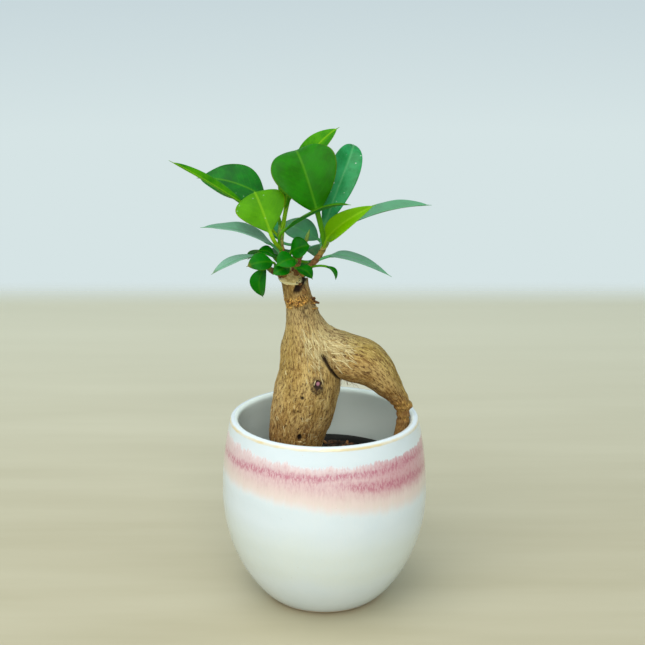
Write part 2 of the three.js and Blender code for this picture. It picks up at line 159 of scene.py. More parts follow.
half = TABLE_SIDE * 500
far = TABLE_FAR_EDGE * 1000
near_side = far - 2 * half
corners = [(-half, near_side, 0), (half, near_side, 0), (half, far, 0), (-half, far, 0)]
table = mesh_piece("table_top", corners, [(0, 1, 2, 3)], table_paint, smooth=False)
table.location.z = -TABLE_CLEARANCE

wall = bpy.data.worlds.new("pale_wall")
wall.use_nodes = True
tree = wall.node_tree
way = place(tree, "SeparateXYZ", {0: place(tree, "TexCoord").outputs["Generated"]}).outputs["Z"]
rise = place(tree, "MapRange", {"Value": way, "From Min": -0.13, "From Max": -0.04}).outputs[0]
shade = place(tree, "ValToRGB", {"Fac": rise})
shade.color_ramp.elements[0].color = paint(214, 228, 229)
shade.color_ramp.elements[1].color = paint(201, 216, 220)
tree.links.new(shade.outputs[0], tree.nodes["Background"].inputs["Color"])
bpy.context.scene.world = wall


def window_light(name, place_at, aim_at, side, power, colour):
    """A soft square lamp that faces a point, all in metres."""
    lamp = bpy.data.lights.new(name, "AREA")
    lamp.size = side
    lamp.energy = power
    lamp.color = colour
    made = bpy.data.objects.new(name, lamp)
    made.location = place_at
    made.rotation_euler = (Vector(aim_at) - Vector(place_at)).to_track_quat("-Z", "Y").to_euler()
    bpy.context.scene.collection.objects.link(made)


window_light("window", (-0.7, -1.05, 0.9), (0, 0, 0.12), 1.2, 8.0, WINDOW_COLOUR)
window_light("front", (0.15, -1.3, 0.75), (0, 0, 0.1), 0.6, 6.5, WINDOW_COLOUR)
window_light("ceiling", (-0.2, -0.25, 1.25), (0, 0, 0.08), 0.9, 7.0, (1.0, 1.0, 1.0))

camera = bpy.data.objects.new("camera", bpy.data.cameras.new("camera"))
camera.data.sensor_width = 36
camera.data.lens = CAMERA_LENS
camera.location = CAMERA_AT
camera.rotation_euler = (math.radians(90 - CAMERA_TILT_DOWN), 0, 0)
bpy.context.scene.collection.objects.link(camera)
bpy.context.scene.camera = camera
bpy.context.scene.view_settings.view_transform = "Standard"

# ---- Cover pot ----
# A thrown stoneware shell with a rounded belly and lip, dipped in a glossy white glaze. A
# rose glaze is brushed round the shoulder and has run down into it in fine streaks. The
# glaze breaks to gold on the lip and stops short of the bare clay foot.

POT_HEIGHT = 100.0
POT_WIDEST_RADIUS = 54.0
POT_WIDEST_HEIGHT = 58.0
POT_FOOT_RADIUS = 28.0
POT_MOUTH_RADIUS = 49.0
POT_WALL = 4.5
POT_FLOOR = 6.0
BELLY_SQUARENESS = 0.78
FOOT_RING_WIDTH = 4.0
FOOT_RECESS = 1.2
POT_SIDES = 192


def bumped(tree, surface, height, distance, strength=1.0):
    """Feeds a bump of that height, in metres for a height of 1, into a surface."""
    inputs = {"Height": height, "Distance": distance, "Strength": strength}
    made = place(tree, "Bump", inputs)
    tree.links.new(made.outputs[0], surface.inputs["Normal"])


def store(piece, **values):
    """Keeps numbers on the piece's points, for its material to read."""
    for name, value in values.items():
        kind = "FLOAT_VECTOR" if np.ndim(value) == 2 else "FLOAT"
        attribute = piece.data.attributes.new(name, kind, "POINT")
        flat = np.ascontiguousarray(value, np.float32).ravel()
        attribute.data.foreach_set("vector" if kind == "FLOAT_VECTOR" else "value", flat)


def stored(tree, name, output="Fac"):
    """What a piece keeps on its points under that name."""
    return place(tree, "Attribute", attribute_name=name).outputs[output]


def turned_mesh(profile, sides, stray=None):
    """Points and faces of a closed profile of [radius, height] spun about Z. It starts and
    ends on the axis. stray(angle, height) is what the radius strays by."""
    angles = np.arange(sides) / sides * 2 * math.pi
    points = [(0, 0, profile[0][1])]
    for radius, height in profile[1:-1]:
        reach = radius + (stray(angles, height) if stray else 0 * angles)
        ring = (reach * np.cos(angles), reach * np.sin(angles), np.full(sides, height))
        points.extend(np.transpose(ring).tolist())
    points.append((0, 0, profile[-1][1]))
    faces = []
    rings = len(profile) - 2
    for side in range(sides):
        after = (side + 1) % sides
        faces.append((0, 1 + after, 1 + side))
        for ring in range(rings - 1):
            low = 1 + ring * sides
            faces.append((low + side, low + after, low + sides + after, low + sides + side))
        low = 1 + (rings - 1) * sides
        faces.append((low + side, low + after, len(points) - 1))
    return points, faces


def pot_outer_radius(height):
    """The radius of the cover pot's outside at that height."""
    if height > POT_WIDEST_HEIGHT:
        rise = (height - POT_WIDEST_HEIGHT) / (POT_HEIGHT - POT_WIDEST_HEIGHT)
        return POT_WIDEST_RADIUS - (POT_WIDEST_RADIUS - POT_MOUTH_RADIUS) * rise**2
    drop = 1 - height / POT_WIDEST_HEIGHT
    swell = (1 - drop**2) ** BELLY_SQUARENESS
    return POT_FOOT_RADIUS + (POT_WIDEST_RADIUS - POT_FOOT_RADIUS) * swell


def pot_inner_point(height):
    """The point of the inside face that lies square across the wall from the outside."""
    slope = (pot_outer_radius(height + 0.01) - pot_outer_radius(height - 0.01)) / 0.02
    length = math.hypot(1, slope)
    return pot_outer_radius(height) - POT_WALL / length, height + POT_WALL * slope / length


def cover_pot_profile():
    """The cover pot's section: under the foot, up the outside, over the lip, down inside."""
    lip_radius = POT_WALL / 2
    lip_centre = POT_HEIGHT - lip_radius
    wall_heights = [0.25, 0.6, 1, 1.6, 2.4, 3.4, 4.6, 6, 8, 10, 12.5, 15]
    wall_heights += np.arange(18, 96, 2.6).tolist() + [lip_centre]
    ring_inside = POT_FOOT_RADIUS - FOOT_RING_WIDTH
    profile = [
        (0, FOOT_RECESS),
        (ring_inside * 0.5, FOOT_RECESS),
        (ring_inside - 1.4, FOOT_RECESS),
        (ring_inside - 0.5, FOOT_RECESS * 0.75),
        (ring_inside, FOOT_RECESS * 0.2),
        (ring_inside + 0.5, 0),
        (POT_FOOT_RADIUS - 0.4, 0),
    ]
    profile += [(pot_outer_radius(height), height) for height in wall_heights]
    lip_middle = pot_outer_radius(lip_centre) - lip_radius
    for turn in np.radians(np.arange(12, 180, 12)):
        across = lip_middle + lip_radius * math.cos(turn)
        profile.append((across, lip_centre + lip_radius * math.sin(turn)))
    inside = [pot_inner_point(height) for height in reversed(wall_heights)]
    profile += [point for point in inside if point[1] > POT_FLOOR + 2.5]
    corner_radius, corner_height = profile[-1]
    for turn in np.radians([20, 40, 60, 80]):
        across = corner_radius - 7 * (1 - math.cos(turn))
        profile.append((across - 1.5, corner_height - (corner_height - POT_FLOOR) * math.sin(turn)))
    profile += [(corner_radius - 10, POT_FLOOR), (corner_radius / 2, POT_FLOOR)]
    profile.append((0, POT_FLOOR))
    return profile


def thrown(angles, height):
    """The slight unevenness left by the potter's hands."""
    rise = height / POT_HEIGHT
    sway = 0.16 * np.sin(2 * angles + 0.7) + 0.09 * np.sin(5 * angles + 2 + 3 * rise)
    return rise * sway + 0.04 * math.sin(height * 1.9)


pot_glaze, tree, surface = new_material(
    "white_and_rose_glaze", Roughness=0.2, Coat_Weight=0.4, Coat_Roughness=0.06
)
where = own_place(tree)
axes = place(tree, "SeparateXYZ", {0: where})
height = times(tree, axes.outputs["Z"], 1000.0)
behind = times(tree, axes.outputs["Y"], -1.0)
turn = maths(tree, "ARCTAN2", axes.outputs["X"], behind)
frontness = maths(tree, "COSINE", turn)
rightness = maths(tree, "SINE", turn)

# Glaze runs: fine vertical streaks, and broader ones between them.
fine_runs = noise(tree, stretched(tree, where, 850, 850, 200), 1.0, 3.0, 0.6)
broad_runs = noise(tree, stretched(tree, where, 190, 190, 30), 1.0, 3.0, 0.55)
drift = noise(tree, stretched(tree, where, 28, 28, 5), 1.0, 1.0)
speckle = noise(tree, stretched(tree, where, 1100, 1100, 420), 1.0, 3.0, 0.65)
fine_reach = maths(tree, "MULTIPLY_ADD", fine_runs, 4.0, -2.0)
run_length = maths(tree, "ADD", fine_reach, maths(tree, "MULTIPLY_ADD", broad_runs, 4.6, -2.3))
band_middle = maths(tree, "MULTIPLY_ADD", frontness, -2.4, 93.2)
band_top = maths(tree, "ADD", band_middle, times(tree, rightness, -1.4))
below_top = maths(tree, "SUBTRACT", band_top, height)
ragged_depth = maths(tree, "ADD", below_top, run_length)
widening = fade(tree, rightness, -0.6, 0.9, 1.12, 0.86)
band_place = times(tree, times(tree, ragged_depth, widening), 1 / 30)
rose = place(tree, "ValToRGB", {"Fac": band_place})
rose_steps = [
    (0.00, paint(218, 228, 235)),
    (0.05, paint(220, 206, 208)),
    (0.13, paint(212, 188, 190)),
    (0.30, paint(211, 182, 184)),
    (0.42, paint(212, 184, 184)),
    (0.52, paint(215, 192, 187)),
    (0.66, paint(220, 205, 197)),
    (0.86, paint(218, 226, 230)),
]
for position, colour in rose_steps[2:]:
    rose.color_ramp.elements.new(position)
for element, (position, colour) in zip(rose.color_ramp.elements, rose_steps):
    element.position = position
    element.color = colour


def rose_line(at, wide, wander, strength):
    """A darker line in the rose glaze, at that height, as a mask."""
    middle = maths(tree, "MULTIPLY_ADD", drift, wander, at)
    away = maths(tree, "ABSOLUTE", maths(tree, "SUBTRACT", height, middle))
    ragged = maths(tree, "MULTIPLY_ADD", run_length, 0.16, away)
    line = fade(tree, ragged, wide, wide * 0.1)
    patchy = fade(tree, speckle, 0.38, 0.6, 0.3, 1.0)
    return times(tree, times(tree, line, patchy), strength)


upper_line = rose_line(82.0, 3.6, 6.5, 0.75)
lower_sweep = maths(tree, "MULTIPLY_ADD", rightness, -5.5, 78.4)
right_half = fade(tree, rightness, 0.02, 0.35, 0.2, 0.75)
lower_line = rose_line(lower_sweep, 4.0, 5.0, right_half)
top_line = rose_line(86.8, 3.4, 3.0, fade(tree, rightness, 0.1, 0.6, 0.0, 0.9))
lines = maths(tree, "MAXIMUM", maths(tree, "MAXIMUM", upper_line, lower_line), top_line)
in_band = fade(tree, ragged_depth, 1.0, 4.5)
lines = maths(tree, "MULTIPLY", lines, in_band, clamp=True)

on_outside = fade(tree, stored(tree, "outside"), 0.35, 0.65)
mottle = noise(tree, where, 60.0, 3.0)
white = mixed(tree, mottle, paint(206, 217, 223), paint(216, 223, 226))
cream_place = maths(tree, "ADD", height, maths(tree, "MULTIPLY_ADD", drift, 22.0, -11.0))
cream_low = fade(tree, cream_place, 17, 30)
cream_high = fade(tree, cream_place, 58, 40)
cream_share = times(tree, times(tree, cream_low, cream_high), 0.35)
white = mixed(tree, cream_share, white, paint(214, 219, 201))
white = mixed(tree, fade(tree, fine_runs, 0.5, 0.72, 0.0, 0.22), white, paint(205, 219, 226))
band_share = times(tree, fade(tree, band_place, 0.9, 0.72), on_outside)
band_share = times(tree, band_share, fade(tree, ragged_depth, -0.4, 0.6))
colour = mixed(tree, band_share, white, rose.outputs[0])
streaked = fade(tree, fine_runs, 0.36, 0.68)
streaked = times(tree, times(tree, streaked, band_share), 0.4)
colour = mixed(tree, streaked, colour, paint(226, 200, 198))
rosy = times(tree, fade(tree, band_place, 0.62, 0.4), band_share)
speckled = fade(tree, speckle, 0.45, 0.68, 0.0, 0.3)
rosier = maths(tree, "ADD", speckled, fade(tree, rightness, 0.1, 0.8, 0.0, 0.62))
colour = mixed(tree, times(tree, rosy, rosier), colour, paint(190, 130, 140))
line_share = times(tree, lines, on_outside)
colour = mixed(tree, line_share, colour, paint(178, 96, 120))
# Inside the pot the glaze is painted a lighter white than outside: painted light that brightens the
# shaded inner wall.
colour = mixed(tree, on_outside, paint(230, 240, 233), colour)

# The glaze thins to gold where it breaks over the lip's outer edge.
gold_wander = maths(tree, "MULTIPLY_ADD", broad_runs, 0.8, 98.3)
gold_away = maths(tree, "ABSOLUTE", maths(tree, "SUBTRACT", height, gold_wander))
gold = times(tree, fade(tree, gold_away, 1.1, 0.15), on_outside)
gold = times(tree, gold, fade(tree, mottle, 0.35, 0.6, 0.45, 0.95))
colour = mixed(tree, gold, colour, paint(214, 192, 140))

# Bare clay at the foot, where the glaze was wiped off.
foot_edge = maths(tree, "MULTIPLY_ADD", broad_runs, 1.2, 1.3)
bare = fade(tree, maths(tree, "SUBTRACT", height, foot_edge), 0.3, -0.3)
grit = noise(tree, where, 1400.0, 3.0, 0.7)
clay = mixed(tree, grit, paint(176, 148, 116), paint(208, 186, 155))
colour = mixed(tree, bare, colour, clay)
pinholes = place(tree, "TexVoronoi", {"Vector": where, "Scale": 150.0, "Randomness": 1.0})
pinhole = fade(tree, pinholes.outputs["Distance"], 0.06, 0.02, 0.0, 0.25)
colour = mixed(tree, pinhole, colour, paint(186, 172, 146))
tree.links.new(colour, surface.inputs["Base Color"])
tree.links.new(fade(tree, bare, 0, 1, 0.17, 0.85), surface.inputs["Roughness"])
tree.links.new(fade(tree, bare, 0, 1, 0.4, 0.0), surface.inputs["Coat Weight"])
ripple = maths(tree, "ADD", noise(tree, where, 110.0, 2.0), times(tree, broad_runs, 0.35))
ripple = maths(tree, "ADD", ripple, times(tree, grit, bare))
ripple = maths(tree, "SUBTRACT", ripple, pinhole)
bumped(tree, surface, ripple, 0.00018)

profile = cover_pot_profile()
points, faces = turned_mesh(profile, POT_SIDES, thrown)
cover_pot = mesh_piece("glazed_cover_pot", points, faces, pot_glaze)
lip_top = max(range(len(profile)), key=lambda ring: profile[ring][1])
outside = [ring <= lip_top + 1 for ring in range(1, len(profile) - 1)]
outside = np.concatenate([[1], np.repeat(outside, POT_SIDES), [0]])
store(cover_pot, outside=outside.astype(float))
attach(cover_pot, "root")
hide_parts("cover_pot")

# ---- Nursery pot ----
# The thin black plastic pot that the tree was sold in, blow-moulded with a turned-over rim,
# fine ribs round its wall and drain holes in its floor. It stands loose in the cover pot.

NURSERY_BASE = POT_FLOOR + 0.3
NURSERY_RIM_RADIUS = 44.7
NURSERY_BASE_RADIUS = 25.0
NURSERY_RIM_HEIGHT = 73.0
NURSERY_WALL = 1.1
NURSERY_FLOOR = 1.5
NURSERY_COLLAR = 6.0
COLLAR_STEP = 1.2
DRAIN_HOLES = 6
DRAIN_RADIUS = 3.5
DRAIN_CIRCLE_RADIUS = 16.0


def gathered(parts):
    """Several (points, faces) as one pair of lists."""
    points, faces = [], []
    for part_points, part_faces in parts:
        first = len(points)
        points.extend(tuple(point) for point in part_points)
        faces.extend(tuple(first + corner for corner in face) for face in part_faces)
    return points, faces


def nursery_radius(height):
    """The radius of the nursery pot's wall at that height, without its collar."""
    rise = (height - NURSERY_BASE) / (NURSERY_RIM_HEIGHT - NURSERY_BASE)
    top = NURSERY_RIM_RADIUS - COLLAR_STEP
    return NURSERY_BASE_RADIUS + (top - NURSERY_BASE_RADIUS) * rise


def nursery_profile():
    """The nursery pot's section: under the base, up the ribbed wall, over the rim, inside."""
    collar_foot = NURSERY_RIM_HEIGHT - NURSERY_COLLAR
    inside = NURSERY_BASE + NURSERY_FLOOR
    profile = [(0, NURSERY_BASE + 0.5), (NURSERY_BASE_RADIUS - 4, NURSERY_BASE + 0.5)]
    profile += [(NURSERY_BASE_RADIUS - 3, NURSERY_BASE), (NURSERY_BASE_RADIUS - 0.6, NURSERY_BASE)]
    profile.append((NURSERY_BASE_RADIUS, NURSERY_BASE + 0.6))
    for height in np.arange(NURSERY_BASE + 2, collar_foot - 1, 1.5):
        rib = 0.18 * math.cos((height - NURSERY_BASE) * math.pi / 1.5)
        profile.append((nursery_radius(height) + rib, height))
    profile += [
        (nursery_radius(collar_foot), collar_foot),
        (NURSERY_RIM_RADIUS - 0.35, collar_foot + 0.1),
        (NURSERY_RIM_RADIUS, collar_foot + 0.5),
        (NURSERY_RIM_RADIUS, NURSERY_RIM_HEIGHT - 0.8),
        (NURSERY_RIM_RADIUS - 0.25, NURSERY_RIM_HEIGHT - 0.2),
        (NURSERY_RIM_RADIUS - 0.8, NURSERY_RIM_HEIGHT),
        (NURSERY_RIM_RADIUS - 1.6, NURSERY_RIM_HEIGHT),
        (nursery_radius(NURSERY_RIM_HEIGHT) - NURSERY_WALL + 0.2, NURSERY_RIM_HEIGHT - 0.3),
    ]
    for height in np.arange(NURSERY_RIM_HEIGHT - 1.5, inside + 1, -4):
        profile.append((nursery_radius(height) - NURSERY_WALL, height))
    profile += [(nursery_radius(inside) - NURSERY_WALL - 1.5, inside), (0, inside)]
    return profile


black_plastic, tree, surface = new_material("black_moulded_plastic", Specular_IOR_Level=0.25)
where = own_place(tree)
scuffs = noise(tree, stretched(tree, where, 500, 500, 120), 1.0, 4.0, 0.65)
dust = noise(tree, where, 220.0, 4.0, 0.6)
colour = mixed(tree, dust, paint(16, 17, 16), paint(34, 35, 32))
colour = mixed(tree, fade(tree, scuffs, 0.6, 0.75, 0.0, 0.3), colour, paint(66, 62, 55))
tree.links.new(colour, surface.inputs["Base Color"])
tree.links.new(fade(tree, dust, 0.3, 0.7, 0.42, 0.68), surface.inputs["Roughness"])
bumped(tree, surface, maths(tree, "ADD", noise(tree, where, 900.0), scuffs), 0.0001)

points, faces = turned_mesh(nursery_profile(), 96)
nursery_pot = mesh_piece("nursery_pot_moulded", points, faces, black_plastic)
profile = [(0, NURSERY_BASE - 2), (DRAIN_RADIUS, NURSERY_BASE - 2)]
profile += [(DRAIN_RADIUS, NURSERY_BASE + 4), (0, NURSERY_BASE + 4)]
points, faces = turned_mesh(profile, 28)
drills = []
for hole in range(DRAIN_HOLES):
    turn = hole / DRAIN_HOLES * 2 * math.pi
    middle = (DRAIN_CIRCLE_RADIUS * math.cos(turn), DRAIN_CIRCLE_RADIUS * math.sin(turn))
    drills.append(([(x + middle[0], y + middle[1], z) for x, y, z in points], faces))
drill = mesh_piece("drain_drill", *gathered(drills), black_plastic)
cut = nursery_pot.modifiers.new("drain_holes", "BOOLEAN")
cut.object = drill
cut.operation = "DIFFERENCE"
cut.solver = "EXACT"
bpy.context.view_layer.update()
drilled = bpy.data.meshes.new_from_object(
    nursery_pot.evaluated_get(bpy.context.evaluated_depsgraph_get())
)
nursery_pot.modifiers.clear()
nursery_pot.data = drilled
bpy.data.objects.remove(drill)
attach(nursery_pot, "root")
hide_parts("nursery_pot")

# ---- Trunk ----
# The swollen root-trunk of a ginseng ficus, with the aerial root that arches out of its
# shoulder and down into the soil. Its thin bark is tan, grooved along the grain and dotted
# with pores. The top was sawn off, and the neck carries a rough ring of old callus.

TRUNK_STATIONS = [
    [-13, 1, 36, 3.5, 3.5],
    [-15, 1, 52, 7.5, 7],
    [-15.5, 0, 68, 11, 10.5],
    [-15.2, 0, 82, 13.4, 12.8],
    [-14, 0, 93, 15.2, 14.4],
    [-12, 0, 102, 16.6, 15.2],
    [-9.6, 0, 113, 16.9, 15.4],
    [-8.2, 0, 124, 16.2, 14.6],
    [-8.5, 0, 135, 14.2, 13],
    [-9.6, 0, 145, 11.4, 11],
    [-10.9, 0, 153, 8.9, 9],
    [-12.3, 0, 160, 7.5, 7.8],
    [-14.4, 0, 167, 7, 7.2],
    [-15.9, 0, 174, 6.7, 6.9],
    [-17.2, 0, 178, 7, 7],
]
AERIAL_ROOT_STATIONS = [
    [-8, 0, 139, 9, 9],
    [1, -1, 136.5, 10.5, 10],
    [10, -2, 133.5, 12, 11.4],
    [19, -3, 131, 12.3, 11.8],
    [26, -3, 126, 10.4, 10.6],
    [31.5, -3, 119.5, 7.8, 8.4],
    [36, -2, 113.5, 5.7, 6],
    [39.7, -1, 107.5, 4.2, 4.4],
    [41.2, 0, 100, 3.3, 3.5],
    [40.6, 0, 91, 3.6, 3.7],
    [38.4, 0, 79, 4, 4],
    [35.5, 0, 66, 3.4, 3.4],
    [31, 1, 52, 2, 2],
]
ROOT_KNOB_AT = (44, 0, 105.5)
BARK_CELL = 0.42
SAWN_HEIGHT = 174.6
SAWN_SLOPE = 0.4
STEM_ROUND = 14.0
ROOT_ROUND = 9.0
KNOT_AT = (-3.7, -15, 120.9)
HOLE_AT = (-12.9, -13, 92.4)
PORE_AT = (-11.4, -15, 114.3)
KNEE_HEIGHT = 103


def value_noise(points, seed):
    """Smooth noise from -1 to 1 at each point, with one cell to the unit."""
    cell = np.floor(points).astype(np.int64)
    part = points - cell
    part = part * part * (3 - 2 * part)
    total = np.zeros(len(points))
    for corner in itertools.product((0, 1), repeat=3):
        at = cell + corner
        mix = at[:, 0] * 73856093 ^ at[:, 1] * 19349663 ^ at[:, 2] * 83492791 ^ seed * 7919
        mix = (mix ^ (mix >> 13)) * 1274126177 & 0xFFFFFFFF
        mix = (mix ^ (mix >> 15)) * 2246822519 & 0xFFFFFFFF
        weight = np.prod(np.where(corner, part, 1 - part), axis=1)
        total += ((mix >> 8 & 0xFFFF) / 32767.5 - 1) * weight
    return total


def smooth_path(stations, count):
    """Points on a smooth curve through the stations, however many numbers each has."""
    stations = np.array(stations, float)
    ends = np.vstack([2 * stations[0] - stations[1], stations, 2 * stations[-1] - stations[-2]])
    spot = np.linspace(0, len(stations) - 1, count)
    span = np.minimum(spot.astype(int), len(stations) - 2)
    t = (spot - span)[:, None]
    a, b, c, d = (ends[span + step] for step in range(4))
    bend = 2 * a - 5 * b + 4 * c - d
    return 0.5 * (2 * b + (c - a) * t + bend * t**2 + (3 * b - a - 3 * c + d) * t**3)


def tube_faces(rings, sides):
    """The faces of a tube of rings of points, closed at both ends."""
    faces = []
    for ring in range(rings - 1):
        for side in range(sides):
            a = ring * sides + side
            b = ring * sides + (side + 1) % sides
            faces.append((a, b, b + sides, a + sides))
    faces.append(tuple(reversed(range(sides))))
    faces.append(tuple((rings - 1) * sides + side for side in range(sides)))
    return faces


class Limb:
    """A smooth limb with an elliptical section, and the way its surface lies."""

    def __init__(self, stations, count):
        path = smooth_path(stations, count)
        self.middle = path[:, :3]
        self.girth = path[:, 3:]
        along = np.gradient(self.middle, axis=0)
        self.length = np.concatenate([[0], np.cumsum(np.linalg.norm(along, axis=1)[1:])])
        self.along = along / np.linalg.norm(along, axis=1)[:, None]
        across = np.cross((0.0, 1.0, 0.0), self.along)
        self.across = across / np.linalg.norm(across, axis=1)[:, None]
        self.depth = np.cross(self.along, self.across)

    def tube(self, sides):
        """Points and faces of the limb's bare tube."""
        turn = np.arange(sides) / sides * 2 * math.pi
        wide = self.girth[:, :1, None] * np.cos(turn)[None, :, None] * self.across[:, None]
        deep = self.girth[:, 1:, None] * np.sin(turn)[None, :, None] * self.depth[:, None]
        points = (self.middle[:, None] + wide + deep).reshape(-1, 3)
        return points, tube_faces(len(self.middle), sides)

    def measure(self, points):
        """For each point: distance outside the surface, the way out, and grain place."""
        nearest = np.empty(len(points), int)
        for start in range(0, len(points), 4000):
            block = points[start : start + 4000, None] - self.middle[None]
            nearest[start : start + 4000] = np.argmin((block**2).sum(2), axis=1)
        away = points - self.middle[nearest]
        across, depth, along = self.across[nearest], self.depth[nearest], self.along[nearest]
        wide, deep = self.girth[nearest, 0], self.girth[nearest, 1]
        a = (away * across).sum(1)
        b = (away * depth).sum(1)
        over = (away * along).sum(1)
        share = np.sqrt((a / wide) ** 2 + (b / deep) ** 2) + 1e-9
        out = (across * (a / wide**2)[:, None] + depth * (b / deep**2)[:, None]) / share[:, None]
        steep = np.linalg.norm(out, axis=1)
        distance = (share - 1) / steep
        out /= steep[:, None]
        beyond = np.where(nearest == 0, -over, np.where(nearest == len(self.middle) - 1, over, -9e9))
        capped = beyond > distance
        distance = np.where(capped, beyond, distance)
        out = np.where(capped[:, None], np.where(nearest == 0, -1, 1)[:, None] * along, out)
        turn = np.arctan2(b / deep, a / wide)
        grain = np.stack([np.cos(turn), np.sin(turn), self.length[nearest] + over], 1)
        return distance, out, grain


def smooth_join(first, second, reach):
    """How far the joint of two surfaces fills in, and the share of each."""
    overlap = np.maximum(reach - np.abs(first - second), 0) / reach
    fill = overlap**2 * reach / 4
    share = np.clip(0.5 + (first - second) / (2 * reach), 0, 1)
    return np.minimum(first, second) - fill, share


def voxel_skin(name, solids, cell):
    """One closed skin round several closed meshes, as an array of points and its faces."""
    rough = mesh_piece(name, *gathered(solids), bark)
    remesh = rough.modifiers.new("skin", "REMESH")
    remesh.mode = "VOXEL"
    remesh.voxel_size = cell / 1000
    bpy.context.view_layer.update()
    skin = bpy.data.meshes.new_from_object(
        rough.evaluated_get(bpy.context.evaluated_depsgraph_get())
    )
    bpy.data.objects.remove(rough)
    co = np.empty(len(skin.vertices) * 3)
    skin.vertices.foreach_get("co", co)
    return co.reshape(-1, 3) * 1000, [tuple(face.vertices) for face in skin.polygons]


def near(points, place_at, reach):
    """1 at a place, falling smoothly to 0 at that reach on each axis."""
    away = np.linalg.norm((points - np.array(place_at)) / np.array(reach), axis=1)
    return np.clip(1 - away**2, 0, 1) ** 2


def rises(values, low, high):
    """0 below low and 1 above high, smooth between; high may be below low."""
    t = np.clip((values - low) / (high - low), 0, 1)
    return t * t * (3 - 2 * t)


def new_group(name, given, results):
    """An empty node group with those sockets, as (group, what it is given)."""
    group = bpy.data.node_groups.new(name, "ShaderNodeTree")
    for label, kind in given.items():
        group.interface.new_socket(label, in_out="INPUT", socket_type="NodeSocket" + kind)
    for label in results:
        group.interface.new_socket(label, in_out="OUTPUT", socket_type="NodeSocketFloat")
    return group, group.nodes.new("NodeGroupInput").outputs


def give_back(group, **results):
    """Links a node group's results to its outputs."""
    result = group.nodes.new("NodeGroupOutput")
    for label, socket in results.items():
        group.links.new(socket, result.inputs[label])


def make_bark_grain():
    """Bark that runs along a limb: ridges and grooves, fine fibres, pores and mottling.
    Grain is a place round and along the limb, in millimetres."""
    sockets = {"Grain": "Vector", "Fineness": "Float"}
    group, given = new_group("bark_grain", sockets, ("Ridges", "Fibres", "Pores", "Mottle"))
    grain = {0: given["Grain"], 3: given["Fineness"]}
    scaled = place(group, "VectorMath", grain, operation="SCALE").outputs[0]
    broad = noise(group, stretched(group, scaled, 0.42, 0.42, 0.07), 1.0, 3.0, 0.55)
    middling = noise(group, stretched(group, scaled, 1.0, 1.0, 0.2), 1.0, 4.0, 0.75)
    ridges = maths(group, "ADD", times(group, broad, 0.25), times(group, middling, 0.75))
    fibres = noise(group, stretched(group, scaled, 1.3, 1.3, 0.42), 1.0, 4.0, 0.8)
    spots = stretched(group, scaled, 0.5, 0.5, 0.36)
    cells = place(group, "TexVoronoi", {"Vector": spots, "Scale": 1.0, "Randomness": 1.0})
    lot = place(group, "SeparateColor", {0: cells.outputs["Color"]}).outputs[0]
    chosen = maths(group, "GREATER_THAN", lot, 0.8)
    pores = times(group, fade(group, cells.outputs["Distance"], 0.3, 0.12), chosen)
    mottle = noise(group, stretched(group, scaled, 0.13, 0.13, 0.05), 1.0, 3.0, 0.6)
    give_back(group, Ridges=ridges, Fibres=fibres, Pores=pores, Mottle=mottle)
    return group


bark_grain = make_bark_grain()


def grain_of(tree, vector, fineness):
    """The bark grain placed in a material."""
    made = tree.nodes.new("ShaderNodeGroup")
    made.node_tree = bark_grain
    tree.links.new(vector, made.inputs["Grain"])
    made.inputs["Fineness"].default_value = fineness
    return made.outputs


bark, tree, surface = new_material("ficus_bark", Roughness=0.8)
surface.inputs["Specular IOR Level"].default_value = 0.3
stem_grain = grain_of(tree, stored(tree, "stem_grain", "Vector"), 1.0)
root_grain = grain_of(tree, stored(tree, "root_grain", "Vector"), 1.0)
root_share = stored(tree, "root_share")


def bark_value(name):
    """One value of the grain, taken from the stem's or the root's."""
    both = place(tree, "Mix", {0: root_share, 2: stem_grain[name], 3: root_grain[name]})
    return both.outputs[0]


ridges, fibres, pores, mottle = (bark_value(name) for name in ("Ridges", "Fibres", "Pores", "Mottle"))
colour = mixed(tree, fade(tree, mottle, 0.35, 0.65), paint(172, 138, 74), paint(202, 172, 108))
# A warmer, darker bark tone, which also carries painted shade on the root's undersides.
colour = mixed(tree, stored(tree, "warm"), colour, paint(142, 94, 38))
colour = mixed(tree, times(tree, stored(tree, "olive"), 0.5), colour, paint(152, 138, 60))
colour = mixed(tree, times(tree, stored(tree, "grey"), 0.55), colour, paint(176, 152, 106))
colour = mixed(tree, times(tree, stored(tree, "pale"), 0.6), colour, paint(194, 182, 136))
colour = mixed(tree, fade(tree, ridges, 0.5, 0.38, 0.0, 0.75), colour, paint(112, 76, 38))
colour = mixed(tree, fade(tree, ridges, 0.54, 0.66, 0.0, 0.6), colour, paint(222, 192, 126))
colour = mixed(tree, fade(tree, fibres, 0.54, 0.66, 0.0, 0.6), colour, paint(226, 196, 130))
colour = mixed(tree, fade(tree, fibres, 0.49, 0.38, 0.0, 0.95), colour, paint(84, 52, 22))
colour = mixed(tree, times(tree, pores, 0.7), colour, paint(78, 48, 26))
callus_tone = mixed(tree, fade(tree, fibres, 0.42, 0.6), paint(104, 64, 22), paint(244, 192, 96))
colour = mixed(tree, stored(tree, "callus"), colour, callus_tone)
# The sawn face: pale heartwood in a paler sapwood rim, both painted lighter than the wood as painted
# light, so that the face stays bright in the leaves' shade.
wood = noise(tree, own_place(tree), 700.0, 4.0, 0.7)
heartwood_with_painted_light = mixed(tree, fade(tree, wood, 0.4, 0.62), paint(206, 176, 102), paint(246, 220, 150))
sapwood_with_painted_light = mixed(tree, fade(tree, wood, 0.4, 0.62), paint(246, 222, 148), paint(255, 242, 186))
face = mixed(tree, stored(tree, "sawn_rim"), heartwood_with_painted_light, sapwood_with_painted_light)
colour = mixed(tree, stored(tree, "sawn"), colour, face)
